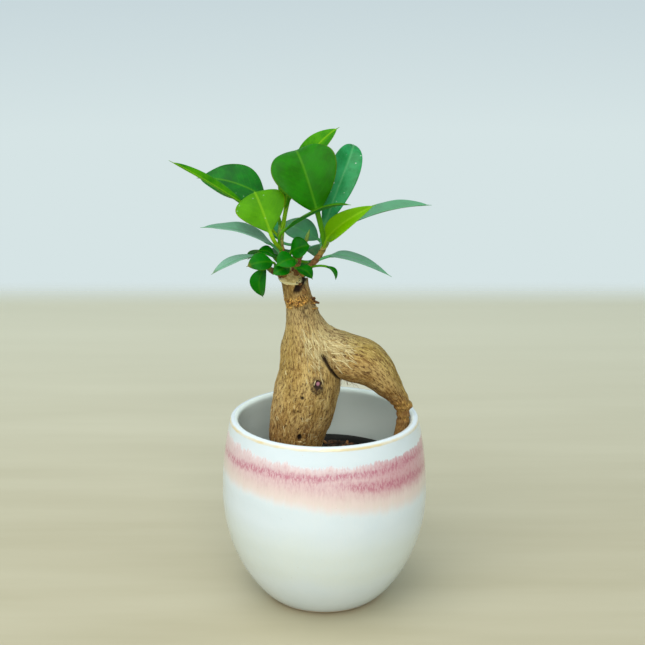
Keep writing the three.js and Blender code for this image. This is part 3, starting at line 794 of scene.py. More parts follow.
# Near-black on the wounds, and painted shade in the crease between stem and root.
colour = mixed(tree, stored(tree, "dark"), colour, paint(46, 30, 18))
colour = mixed(tree, stored(tree, "pink"), colour, paint(176, 120, 134))
tree.links.new(colour, surface.inputs["Base Color"])
relief = maths(tree, "ADD", ridges, times(tree, fibres, 0.8))
relief = maths(tree, "SUBTRACT", relief, times(tree, pores, 0.4))
bumped(tree, surface, relief, 0.0009)

stem = Limb(TRUNK_STATIONS, 200)
root = Limb(AERIAL_ROOT_STATIONS, 200)
x, y, z = ROOT_KNOB_AT
knob_stations = [[x - 5, y, z - 2.2, 2.6, 2.6], [x - 1, y, z - 0.6, 2.5, 2.5]]
knob_stations.append([x + 1.2, y, z + 0.6, 1.7, 1.7])
knob = Limb(knob_stations, 24)
skin, skin_faces = voxel_skin("trunk_skin", [stem.tube(48), root.tube(40), knob.tube(24)], BARK_CELL)


def settle(points):
    """Moves points onto the smoothly joined limbs. Returns them, the way out, and the
    grain and share of each limb."""
    for _ in range(3):
        stem_gap, stem_out, stem_place = stem.measure(points)
        root_gap, root_out, root_place = root.measure(points)
        reach = 1.5 + 6.0 * rises(points[:, 2], 131, 143)
        gap, share = smooth_join(stem_gap, root_gap, reach)
        out = stem_out * (1 - share)[:, None] + root_out * share[:, None]
        knob_gap, knob_out, _ = knob.measure(points)
        gap, knob_share = smooth_join(gap, knob_gap, np.full(len(points), 1.5))
        out = out * (1 - knob_share)[:, None] + knob_out * knob_share[:, None]
        out /= np.linalg.norm(out, axis=1)[:, None] + 1e-9
        points = points - out * np.clip(gap, -1.5, 1.5)[:, None]
    return points, out, stem_place, root_place, share


skin, out, stem_place, root_place, share = settle(skin)
stem_mm = stem_place * (STEM_ROUND, STEM_ROUND, 1)
root_mm = root_place * (ROOT_ROUND, ROOT_ROUND, 1)
grain_mm = np.where(share[:, None] > 0.5, root_mm, stem_mm)

high = skin[:, 2]
front = rises(-skin[:, 1], 0, 6)
grooves = value_noise(grain_mm / (3.1, 3.1, 14), 3)
grooves = grooves + 0.8 * value_noise(grain_mm / (1.3, 1.3, 5), 4)
push = 0.4 * value_noise(skin / 15, 1) + 0.3 * value_noise(skin / 6, 2)
push += 0.26 * grooves + 0.16 * value_noise(grain_mm / (0.9, 0.9, 2.4), 5)
push *= 1 - 0.6 * rises(share, 0.5, 1) * rises(high, 110, 95)
push -= 1.1 * near(skin, (21, -3, 143), (12, 14, 8))
push += 1.0 * near(skin, (-22, -1, 138), (7, 14, 8)) - 0.9 * near(skin, (-24, -1, 123), (7, 14, 8))

# Old wounds on the front: a knot with a pink bud scar, a rotted hole, a pore and bumps.
knot_ring = near(skin, KNOT_AT, (5.6, 7, 7.0)) * (0.8 + 0.5 * value_noise(skin / 1.6, 12))
knot_pit = near(skin, (-3.5, -15, 121.4), (2.7, 5, 3.2))
knot_eye = near(skin, (-3.4, -15, 121.7), (1.5, 5, 1.7))
hole = near(skin, HOLE_AT, (1.9, 6, 2.6))
pore = near(skin, PORE_AT, (1.5, 5, 1.3))
bump = near(skin, (-14.4, -15, 108), (2.6, 6, 2.2)) + near(skin, (-25, -8, 112), (1.6, 5, 2))
push += 1.3 * knot_ring - 2.4 * knot_pit + 1.2 * knot_eye - 3.4 * hole - 1.0 * pore + 0.8 * bump

# The ragged callus on the front of the neck, the scar below it, the crack in the sawn top
# and the burr beside the crack.
ring_height = 163 + 1.5 * value_noise(skin / 3, 6) + 0.2 * (skin[:, 0] + 15)
ring = rises(np.abs(high - ring_height), 3.6, 1.4) * (0.2 + 0.8 * front)
ring *= rises(skin[:, 0], -6.5, -9.5) * rises(value_noise(skin / 2.2, 13), -0.65, 0.1)
ragged = np.abs(value_noise(skin / 1.3, 7))
scar = near(skin, (-8.5, -8, 158), (4.5, 8, 4.5)) * rises(value_noise(skin / 1.8, 8), -0.4, 0.2)
crack_x = -10.9 - 0.36 * (176 - high) + 1.1 * value_noise(skin / 2.5, 9)
crack = rises(np.abs(skin[:, 0] - crack_x), 2.6, 1.7) * rises(high, 166.5, 169.5)
crack *= rises(-skin[:, 1], -5, 0)
burr = near(skin, (-9.2, -7, 168.5), (3.4, 6, 3.6))
push += ring * (0.3 + 2.2 * ragged) + burr * (0.5 + 2.5 * ragged) - 0.7 * scar - 2.6 * crack

# The crease where the root leaves the stem, deepest at the crotch.
crease = rises(np.abs(share - 0.5), 0.4, 0.05) * rises(high, 140, 134) * rises(skin[:, 0], -6, 0)
push -= 1.8 * crease

# Segments at the root's knee.
knee = rises(np.abs(high - KNEE_HEIGHT), 11, 4) * rises(skin[:, 0], 32, 37)
push += 0.3 * knee * np.cos(root_place[:, 2] * 2 * math.pi / 4.2 + 1.5 * value_noise(skin / 4, 14))

skin = skin + out * push[:, None]
stub = rises(skin[:, 0], -11.8, -10.8)
top = SAWN_HEIGHT + SAWN_SLOPE * skin[:, 1] + 0.12 * value_noise(skin / 0.9, 15)
top += stub * (1.2 * value_noise(skin / 1.6, 16) - 1.2)
sawn = (skin[:, 2] > top - 0.05).astype(float)
skin[:, 2] = np.minimum(skin[:, 2], top)
sawn_rim = rises(np.hypot((skin[:, 0] + 16.6) / 5.6, skin[:, 1] / 7), 0.62, 0.85)
trunk = mesh_piece("trunk_bark", skin, skin_faces, bark)
on_root = rises(share, 0.5, 1)
# A warmer, darker tone low on the stem, at its far left, at its neck and low on the root, with painted
# shade on the root's undersides, which face down.
warm = 0.75 * rises(high, 118, 78) * (share < 0.5) + 0.3 * rises(-skin[:, 0], 17, 27)
warm += 0.45 * rises(high, 160, 166) * (share < 0.5)
warm += on_root * (0.2 + 0.6 * rises(high, 122, 104) + 0.25 * rises(-out[:, 2], -0.3, 0.5))
collar = rises(knot_ring, 0.1, 0.4) * (0.62 + 0.4 * value_noise(skin / 0.9, 17))
# Painted dark: the crack, the hole, the pore, the scar, the knot's pit and collar; and painted shade
# in the crease where the root leaves the stem.
wounds_and_crease_shade = 1.5 * crack + crease + 1.8 * hole + 1.4 * pore + 1.1 * scar + 1.4 * knot_pit + collar
olive = rises(out[:, 2], 0.1, 0.7) * rises(skin[:, 0], 5, 12)
olive += 0.5 * rises(-skin[:, 0], 12, 20) * rises(high, 110, 130)
callus = ring * (0.5 + 1.4 * ragged)
callus += 0.6 * knee * rises(value_noise(skin / 3, 11), -0.2, 0.5)
store(
    trunk,
    stem_grain=stem_mm,
    root_grain=root_mm,
    root_share=rises(share, 0.35, 0.65),
    warm=np.clip(warm, 0, 1),
    olive=np.clip(olive, 0, 1),
    pale=near(skin, (2, -10, 143), (20, 22, 16)),
    grey=rises(high, 146, 156) * rises(high, 166, 160),
    dark=np.clip(wounds_and_crease_shade - 1.6 * knot_eye + 0.5 * stub * sawn, 0, 1),
    callus=np.clip(callus, 0, 1),
    sawn=sawn,
    sawn_rim=sawn_rim,
    pink=np.clip(knot_eye * 1.5, 0, 1) * rises(knot_eye, 0.15, 0.4),
)
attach(trunk, "root")
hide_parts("trunk")

# ---- Potting soil ----
# Dark fibrous peat that fills the nursery pot to just below its rim. Crumbs of peat and
# chips of pine bark lie loose on it.

SOIL_EDGE_HEIGHT = 70.0
SOIL_CROWN_HEIGHT = 71.5
SOIL_CROWN_RADIUS = 20.0
SCATTER_RADIUS = 41.0
SCATTER_LIMIT = 41.6
STEM_IN_SOIL = (-15.3, 0)
STEM_CLEARANCE = 10.5
CRUMBS = 700
CHIPS = 150


def soil_height(radius):
    """The height of the soil's surface that far from the middle."""
    fall = rises(radius, SOIL_CROWN_RADIUS, nursery_radius(SOIL_EDGE_HEIGHT) - 1.5)
    return SOIL_CROWN_HEIGHT - (SOIL_CROWN_HEIGHT - SOIL_EDGE_HEIGHT) * fall


def shapes_scattered(count, seed, size_of, blockiness):
    """Points, faces and tones of many rough lumps that lie about on the soil. size_of(dice)
    gives one lump's half sizes; blockiness below 1 squares it off."""
    ball = bpy.data.meshes.new("lump")
    ball_mesh = bmesh.new()
    bmesh.ops.create_icosphere(ball_mesh, subdivisions=2, radius=1)
    ball_mesh.to_mesh(ball)
    ball_mesh.free()
    base = np.array([vertex.co for vertex in ball.vertices])
    ball_faces = [tuple(face.vertices) for face in ball.polygons]
    bpy.data.meshes.remove(ball)
    dice = np.random.default_rng(seed)
    points, faces, tones = [], [], []
    while len(tones) < count * len(base):
        radius = SCATTER_RADIUS * math.sqrt(dice.random())
        turn = dice.random() * 2 * math.pi
        spot = np.array((radius * math.cos(turn), radius * math.sin(turn), 0))
        size = np.array(size_of(dice))
        if math.dist(spot[:2], STEM_IN_SOIL) < STEM_CLEARANCE:
            continue
        if radius + size.max() > SCATTER_LIMIT:
            continue
        lump = np.sign(base) * np.abs(base) ** blockiness * size
        lump *= 1 + 0.22 * value_noise(base * 1.7 + len(tones), seed)[:, None]
        yaw, pitch = dice.random() * 2 * math.pi, dice.normal(0, 0.35)
        cosine, sine = math.cos(pitch), math.sin(pitch)
        lean = np.array([[cosine, 0, sine], [0, 1, 0], [-sine, 0, cosine]])
        cosine, sine = math.cos(yaw), math.sin(yaw)
        spin = np.array([[cosine, -sine, 0], [sine, cosine, 0], [0, 0, 1]])
        spot[2] = soil_height(radius) + size[2] * 0.45
        first = len(tones)
        points.extend(lump @ lean.T @ spin.T + spot)
        faces.extend(tuple(first + corner for corner in face) for face in ball_faces)
        tones.extend([dice.random()] * len(base))
    return points, faces, np.array(tones)


peat, tree, surface = new_material("dark_peat", Roughness=0.95)
where = own_place(tree)
clods = noise(tree, where, 260.0, 5.0, 0.7)
threads = noise(tree, stretched(tree, where, 300, 1500, 600), 1.0, 3.0, 0.7)
colour = mixed(tree, fade(tree, clods, 0.35, 0.7), paint(22, 16, 11), paint(74, 51, 32))
colour = mixed(tree, fade(tree, threads, 0.6, 0.75, 0.0, 0.6), colour, paint(112, 80, 48))
tree.links.new(colour, surface.inputs["Base Color"])
bumped(tree, surface, maths(tree, "ADD", clods, threads), 0.0012)

low = NURSERY_BASE + NURSERY_FLOOR + 0.3
profile = [(0, low), (nursery_radius(low) - 3, low), (nursery_radius(low) - 1.4, low + 0.5)]
for height in np.linspace(low + 4, SOIL_EDGE_HEIGHT, 18):
    profile.append((nursery_radius(height) - 1.4, height))
for radius in np.linspace(nursery_radius(SOIL_EDGE_HEIGHT) - 1.9, 0.8, 44):
    profile.append((radius, float(soil_height(radius))))
profile.append((0, SOIL_CROWN_HEIGHT))
points, faces = turned_mesh(profile, 150)
points = np.array(points)
on_top = rises(points[:, 2], SOIL_EDGE_HEIGHT - 2, SOIL_EDGE_HEIGHT)
rough = 0.8 * value_noise(points / 5, 21) + 0.6 * np.abs(value_noise(points / 1.8, 22))
points[:, 2] += on_top * (rough - 0.3)
soil_bed = mesh_piece("soil_bed", points, faces, peat)
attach(soil_bed, "root")
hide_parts("potting_soil")


def crumb_size(dice):
    """Half the length, width and thickness of a crumb of peat."""
    return dice.uniform(0.45, 1.5) * dice.uniform(0.6, 1.0, 3)


crumb_points, crumb_faces, crumb_tones = shapes_scattered(CRUMBS, 31, crumb_size, 0.9)
crumb_look, tree, surface = new_material("peat_crumbs", Roughness=0.95)
tone = stored(tree, "tone")
fleck = noise(tree, own_place(tree), 900.0, 4.0, 0.7)
colour = mixed(tree, tone, paint(26, 18, 12), paint(86, 58, 36))
colour = mixed(tree, fade(tree, fleck, 0.5, 0.75, 0.0, 0.6), colour, paint(128, 92, 56))
tree.links.new(colour, surface.inputs["Base Color"])
bumped(tree, surface, fleck, 0.0005)
crumbs = mesh_piece("soil_crumbs", crumb_points, crumb_faces, crumb_look)
store(crumbs, tone=crumb_tones)
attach(crumbs, "root")


def chip_size(dice):
    """Half the length, width and thickness of a chip of pine bark."""
    return dice.uniform(1.2, 3.4), dice.uniform(0.6, 1.5), dice.uniform(0.3, 0.7)


chip_points, chip_faces, chip_tones = shapes_scattered(CHIPS, 32, chip_size, 0.55)
chip_look, tree, surface = new_material("pine_bark_chips", Roughness=0.85)
tone = stored(tree, "tone")
layers = noise(tree, stretched(tree, own_place(tree), 350, 350, 1800), 1.0, 4.0, 0.65)
colour = mixed(tree, fade(tree, tone, 0.1, 0.9), paint(96, 54, 28), paint(196, 138, 78))
colour = mixed(tree, fade(tree, layers, 0.4, 0.7, 0.0, 0.7), colour, paint(64, 38, 22))
tree.links.new(colour, surface.inputs["Base Color"])
bumped(tree, surface, layers, 0.0006)
chips = mesh_piece("bark_chips", chip_points, chip_faces, chip_look)
store(chips, tone=chip_tones)
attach(chips, "root")

# ---- Fine roots and peeling bark ----
# Dry pale fibres cling to the bark round the joint of stem and root, hair roots hang in the
# crotch, and curled flakes of dead bark stand out from the callus on the neck.

JOINT_FIBRES = 230
CROSS_FLECKS = 40
BARK_FIBRES = 160
HAIRS = 26
NECK_FLAKES = 11
CALLUS_FLAKES = 46
BURR_FLAKES = 14
KNOT_CLEAR = 13.0
CREEP_STEP = 0.8

bark_surface = BVHTree.FromPolygons([tuple(point) for point in skin], skin_faces)


def strand(path, thickness, sides=5):
    """Points and faces of a thin round strand that tapers to both ends."""
    path = np.array(path, float)
    along = np.gradient(path, axis=0)
    along /= np.linalg.norm(along, axis=1)[:, None] + 1e-9
    across = np.cross(along, (0.31, 0.87, 0.38))
    across /= np.linalg.norm(across, axis=1)[:, None] + 1e-9
    over = np.cross(along, across)
    taper = np.sin(np.linspace(0.12, 0.97, len(path)) * math.pi) ** 0.5 * thickness
    turn = np.arange(sides) / sides * 2 * math.pi
    ring = across[:, None] * np.cos(turn)[None, :, None] + over[:, None] * np.sin(turn)[None, :, None]
    points = (path[:, None] + ring * taper[:, None, None]).reshape(-1, 3)
    return points, tube_faces(len(path), sides)


def spread_tones(parts):
    """A tone from 0 to 1 for every point, the same within one of the parts."""
    tones = [number * 0.618 % 1 for number in range(len(parts))]
    return np.repeat(tones, [len(points) for points, _ in parts])


def clinging(start, heading, length, lift, sway, dice):
    """A path that creeps over the bark from near a start, in about that heading."""
    spot, normal, _, _ = bark_surface.find_nearest(Vector(start))
    path = []
    heading = Vector(heading).normalized()
    for _ in range(max(4, int(length / CREEP_STEP))):
        path.append(tuple(spot + normal * lift))
        heading = heading + Vector(dice.normal(0, sway, 3))
        flat = (heading - normal * heading.dot(normal)).normalized()
        spot, normal, _, _ = bark_surface.find_nearest(spot + flat * CREEP_STEP)
    return path


dice = np.random.default_rng(41)
fibres = []
for _ in range(JOINT_FIBRES):
    start = (dice.normal(0, 5.5), -20, dice.normal(142.5, 6.5))
    leaning = (0.35, 0, -0.95) if start[0] < 2 else (0.9, 0, -0.5)
    heading = Vector(leaning) + Vector(dice.normal(0, 0.32, 3))
    path = clinging(start, heading, dice.uniform(3, 9), 0.1, 0.03, dice)
    fibres.append(strand(path, dice.uniform(0.15, 0.32)))
for _ in range(CROSS_FLECKS):
    start = (dice.uniform(-14, 10), -20, dice.uniform(80, 114))
    heading = (dice.choice((-1, 1)), 0, dice.normal(0, 0.2))
    path = clinging(start, heading, dice.uniform(1.2, 2.4), -0.06, 0.0, dice)
    fibres.append(strand(path, dice.uniform(0.12, 0.2)))
for _ in range(BARK_FIBRES):
    side = dice.uniform(-math.pi, math.pi)
    start = (-9 + 25 * math.sin(side), 25 * math.cos(side), dice.uniform(76, 155))
    heading = (dice.normal(0, 0.3), dice.normal(0, 0.3), dice.choice((-1, 1)))
    path = clinging(start, heading, dice.uniform(2, 6), 0.0, 0.05, dice)
    thickness = dice.uniform(0.1, 0.2)
    if math.dist(path[0], KNOT_AT) > KNOT_CLEAR:
        fibres.append(strand(path, thickness))
fibre_look, tree, surface = new_material("dry_root_fibres", Roughness=0.85)
specks = noise(tree, own_place(tree), 1500.0, 3.0, 0.7)
colour = mixed(tree, stored(tree, "tone"), paint(160, 130, 76), paint(220, 206, 156))
colour = mixed(tree, fade(tree, specks, 0.45, 0.75, 0.0, 0.5), colour, paint(128, 100, 60))
tree.links.new(colour, surface.inputs["Base Color"])
bumped(tree, surface, specks, 0.0001)
fibre_piece = mesh_piece("root_fibres", *gathered(fibres), fibre_look)
store(fibre_piece, tone=spread_tones(fibres))
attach(fibre_piece, "root")

hairs = []
for _ in range(HAIRS):
    start, normal, _, _ = bark_surface.find_nearest(
        Vector((dice.uniform(5, 15), dice.uniform(-9, 7), dice.uniform(119, 124)))
    )
    path = [np.array(start) - 0.3 * np.array(normal)]
    drop = Vector((dice.normal(0.2, 0.5), dice.normal(-0.2, 0.5), -1)).normalized()
    for _ in range(int(dice.uniform(4, 10))):
        drop = (drop + Vector(dice.normal(0, 0.3, 3))).normalized()
        path.append(path[-1] + np.array(drop) * 0.75)
    hairs.append(strand(path, dice.uniform(0.06, 0.12), 4))
hair_look, tree, surface = new_material("hair_roots", Roughness=0.9)
specks = noise(tree, own_place(tree), 1200.0, 3.0, 0.7)
colour = mixed(tree, stored(tree, "tone"), paint(84, 58, 34), paint(178, 150, 104))
colour = mixed(tree, fade(tree, specks, 0.5, 0.8, 0.0, 0.5), colour, paint(60, 42, 26))
tree.links.new(colour, surface.inputs["Base Color"])
hair_piece = mesh_piece("hair_roots", *gathered(hairs), hair_look)
store(hair_piece, tone=spread_tones(hairs))
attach(hair_piece, "root")


def flake(at, outwards, upwards, long, wide, curl, dice):
    """A small curled shard with a ragged outline, standing on the bark."""
    spot, normal, _, _ = bark_surface.find_nearest(Vector(at))
    out_way = (normal * (1 - outwards) + Vector(upwards) * outwards).normalized()
    across = out_way.cross(Vector(dice.normal(0, 1, 3))).normalized()
    face_way = out_way.cross(across)
    rows, columns = 6, 5
    sheet = []
    for layer in (1, -1):
        for row in range(rows):
            t = row / (rows - 1)
            reach = long * t
            ragged = wide * (1 - 0.55 * t) * dice.uniform(0.75, 1.1)
            bend = curl * t**2 * long
            for column in range(columns):
                s = column / (columns - 1) * 2 - 1
                cup = 0.3 * wide * s * s
                thick = 0.16 * layer * (1 - 0.6 * abs(s)) * (1 - 0.6 * t)
                point = spot + out_way * (reach - 0.5 + dice.normal(0, 0.06)) + across * (s * ragged)
                sheet.append(point + face_way * (bend + cup + thick))
    faces = []
    size = rows * columns
    for row in range(rows - 1):
        for column in range(columns - 1):
            a = row * columns + column
            faces.append((a, a + 1, a + columns + 1, a + columns))
            faces.append((size + a, size + a + columns, size + a + columns + 1, size + a + 1))
    edge = [row * columns for row in range(rows)]
    edge += [(rows - 1) * columns + column for column in range(1, columns)]
    edge += [row * columns + columns - 1 for row in reversed(range(rows - 1))]
    edge += list(reversed(range(1, columns - 1)))
    for a, b in zip(edge, edge[1:] + edge[:1]):
        faces.append((a, b, size + b, size + a))
    return [tuple(point) for point in sheet], faces


flake_look, tree, surface = new_material("peeling_bark", Roughness=0.85)
tone = stored(tree, "tone")
specks = noise(tree, own_place(tree), 1100.0, 4.0, 0.7)
colour = mixed(tree, fade(tree, tone, 0.3, 0.7), paint(98, 62, 26), paint(232, 180, 90))
colour = mixed(tree, fade(tree, specks, 0.45, 0.7, 0.0, 0.7), colour, paint(66, 42, 26))
tree.links.new(colour, surface.inputs["Base Color"])
bumped(tree, surface, specks, 0.0004)
shards, shard_tones = [], []
for _ in range(NECK_FLAKES):
    at = (-3.5, dice.uniform(-7, -1), dice.uniform(158.5, 166))
    lie = (0.7, -0.3, dice.normal(0.2, 0.6))
    long, wide = dice.uniform(1.8, 3.2), dice.uniform(1.0, 1.7)
    shards.append(flake(at, 0.45, lie, long, wide, dice.normal(0, 0.5), dice))
    shard_tones.append(dice.uniform(0, 0.6))
for _ in range(CALLUS_FLAKES):
    across = dice.uniform(-21, -8.5)
    at = (across, -12, 163.2 + 0.2 * (across + 15) + dice.normal(0, 1.8))
    lie = (dice.normal(0, 0.4), -0.4, dice.choice((-0.9, 0.9)))
    long, wide = dice.uniform(1.0, 2.2), dice.uniform(0.6, 1.2)
    shards.append(flake(at, 0.55, lie, long, wide, dice.normal(0, 0.4), dice))
    shard_tones.append(dice.uniform(0.2, 1))
for _ in range(BURR_FLAKES):
    at = (dice.uniform(-11, -8), -9, dice.uniform(166, 174))
    lie = (dice.normal(0, 0.4), -0.3, dice.choice((-0.9, 0.9)))
    long, wide = dice.uniform(1.0, 2.0), dice.uniform(0.5, 1.0)
    shards.append(flake(at, 0.5, lie, long, wide, dice.normal(0, 0.4), dice))
    shard_tones.append(dice.uniform(0, 0.5))
flakes = mesh_piece("bark_flakes", *gathered(shards), flake_look)
store(flakes, tone=np.repeat(shard_tones, len(shards[0][0])))
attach(flakes, "root")

# ---- Shoots ----
# Five woody twigs that have grown from under the sawn top. They are ringed with the scars
# of shed leaves, brown at the base, and green where they end in a pointed bud.

SHOOTS = {
    "shoot_left": [
        [-21.4, 0.5, 174.8, 1.7],
        [-24.2, -2.5, 177.5, 1.6],
        [-27, -4.5, 179, 1.5],
        [-29.5, -5, 182, 1.2],
    ],
    "shoot_front_left": [
        [-18.5, 4.2, 175, 1.5],
        [-20, 2, 180.5, 1.4],
        [-21.5, -1, 188, 1.3],
        [-22.5, -1, 197, 1.1],
    ],
    "shoot_right": [
        [-10.5, 0, 177.2, 1.7],
        [-7.5, 0.5, 179.5, 1.6],
        [-3, 1, 185, 1.5],
        [0.5, 0, 191, 1.3],
    ],
    "shoot_centre": [
        [-14.5, 2, 175.4, 1.4],
        [-13.5, 3, 181, 1.3],
        [-11, 4, 188, 1.1],
        [-9, 4, 194, 0.9],
    ],
    "shoot_back": [
        [-15.5, 5, 175.4, 1.5],
        [-15.5, 8, 180, 1.4],
        [-14, 12, 187, 1.2],
        [-13, 14, 193, 1],
    ],
}

TWIG_RINGS = 110
TWIG_SIDES = 24
LEAF_SCAR_SPACING = 3.1

twig_bark, tree, surface = new_material("twig_bark", Roughness=0.7)
grain = grain_of(tree, stored(tree, "grain", "Vector"), 2.4)
greenness = stored(tree, "green")
colour = mixed(tree, fade(tree, grain["Mottle"], 0.35, 0.65), paint(120, 78, 32), paint(170, 124, 54))
colour = mixed(tree, fade(tree, grain["Ridges"], 0.52, 0.7, 0.0, 0.6), colour, paint(184, 150, 86))
colour = mixed(tree, fade(tree, grain["Fibres"], 0.45, 0.3, 0.0, 0.6), colour, paint(56, 32, 20))
colour = mixed(tree, times(tree, grain["Pores"], 0.6), colour, paint(196, 160, 108))
green_bark = mixed(tree, grain["Mottle"], paint(96, 140, 40), paint(142, 170, 62))
colour = mixed(tree, greenness, colour, green_bark)
colour = mixed(tree, stored(tree, "scar"), colour, paint(70, 42, 26))
tree.links.new(colour, surface.inputs["Base Color"])
tree.links.new(fade(tree, greenness, 0, 1, 0.75, 0.4), surface.inputs["Roughness"])
bumped(tree, surface, maths(tree, "ADD", grain["Ridges"], grain["Fibres"]), 0.0003)


def twig(name, stations, seed):
    """A twig that starts inside the trunk's top, swells at each leaf scar, and ends in a
    pointed bud."""
    stations = [[x, y, z, radius, radius] for x, y, z, radius in stations]
    first, second, last = (np.array(stations[n][:3], float) for n in (0, 1, -1))
    before_last = np.array(stations[-2][:3], float)
    ahead = (last - before_last) / np.linalg.norm(last - before_last)
    into = first + (first - second) * 0.55 - (0, 0, 0.8)
    stations = [[*into, 1.5, 1.5], *stations]
    tip = stations[-1][3]
    for reach, share_left in ((1.5, 0.95), (3.0, 0.55), (4.6, 0.12)):
        stations.append([*(last + ahead * reach), tip * share_left, tip * share_left])
    limb = Limb(stations, TWIG_RINGS)
    points, faces = limb.tube(TWIG_SIDES)
    along = np.repeat(limb.length, TWIG_SIDES)
    spin = np.tile(np.arange(TWIG_SIDES) / TWIG_SIDES * 2 * math.pi, TWIG_RINGS)
    woody = rises(along, limb.length[-1] - 3.5, limb.length[-1] - 6)
    ring_place = along / LEAF_SCAR_SPACING + 0.35 * np.sin(spin + seed)
    scar = np.abs((ring_place % 1) - 0.5) < 0.09
    swell = 0.22 * np.exp(-(((ring_place % 1) - 0.5) / 0.16) ** 2)
    ways = points - np.repeat(limb.middle, TWIG_SIDES, axis=0)
    ways /= np.linalg.norm(ways, axis=1)[:, None] + 1e-9
    rough = 0.12 * value_noise(points / 0.9, seed) + 0.1 * value_noise(points / 2.5, seed + 1)
    points = points + ways * (woody * (swell + rough))[:, None]
    made = mesh_piece("twig_" + name[6:], points, faces, twig_bark)
    radius = tip * 1.2
    grain_place = np.stack([radius * np.cos(spin), radius * np.sin(spin), along], 1)
    growth = along / limb.length[-1]
    patchy = 0.25 * value_noise(points / 3, seed + 2) * rises(growth, 0.3, 0.6)
    store(
        made,
        grain=grain_place,
        green=np.clip(rises(growth, 0.55, 0.9) + patchy, 0, 1),
        scar=scar * woody * 0.7,
    )
    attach(made, "root")
    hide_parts(name)


for number, (name, stations) in enumerate(SHOOTS.items()):
    twig(name, stations, 50 + 3 * number)

# ---- Leaves ----
# Leathery blades, each on its own petiole: glossy above with a pale midrib, duller below.
# Young ones are yellow-green and let the light through, and old ones are blue-green. Several
# old ones carry a pale painted reflection of the sky. Each petiole grows from one of the shoots.

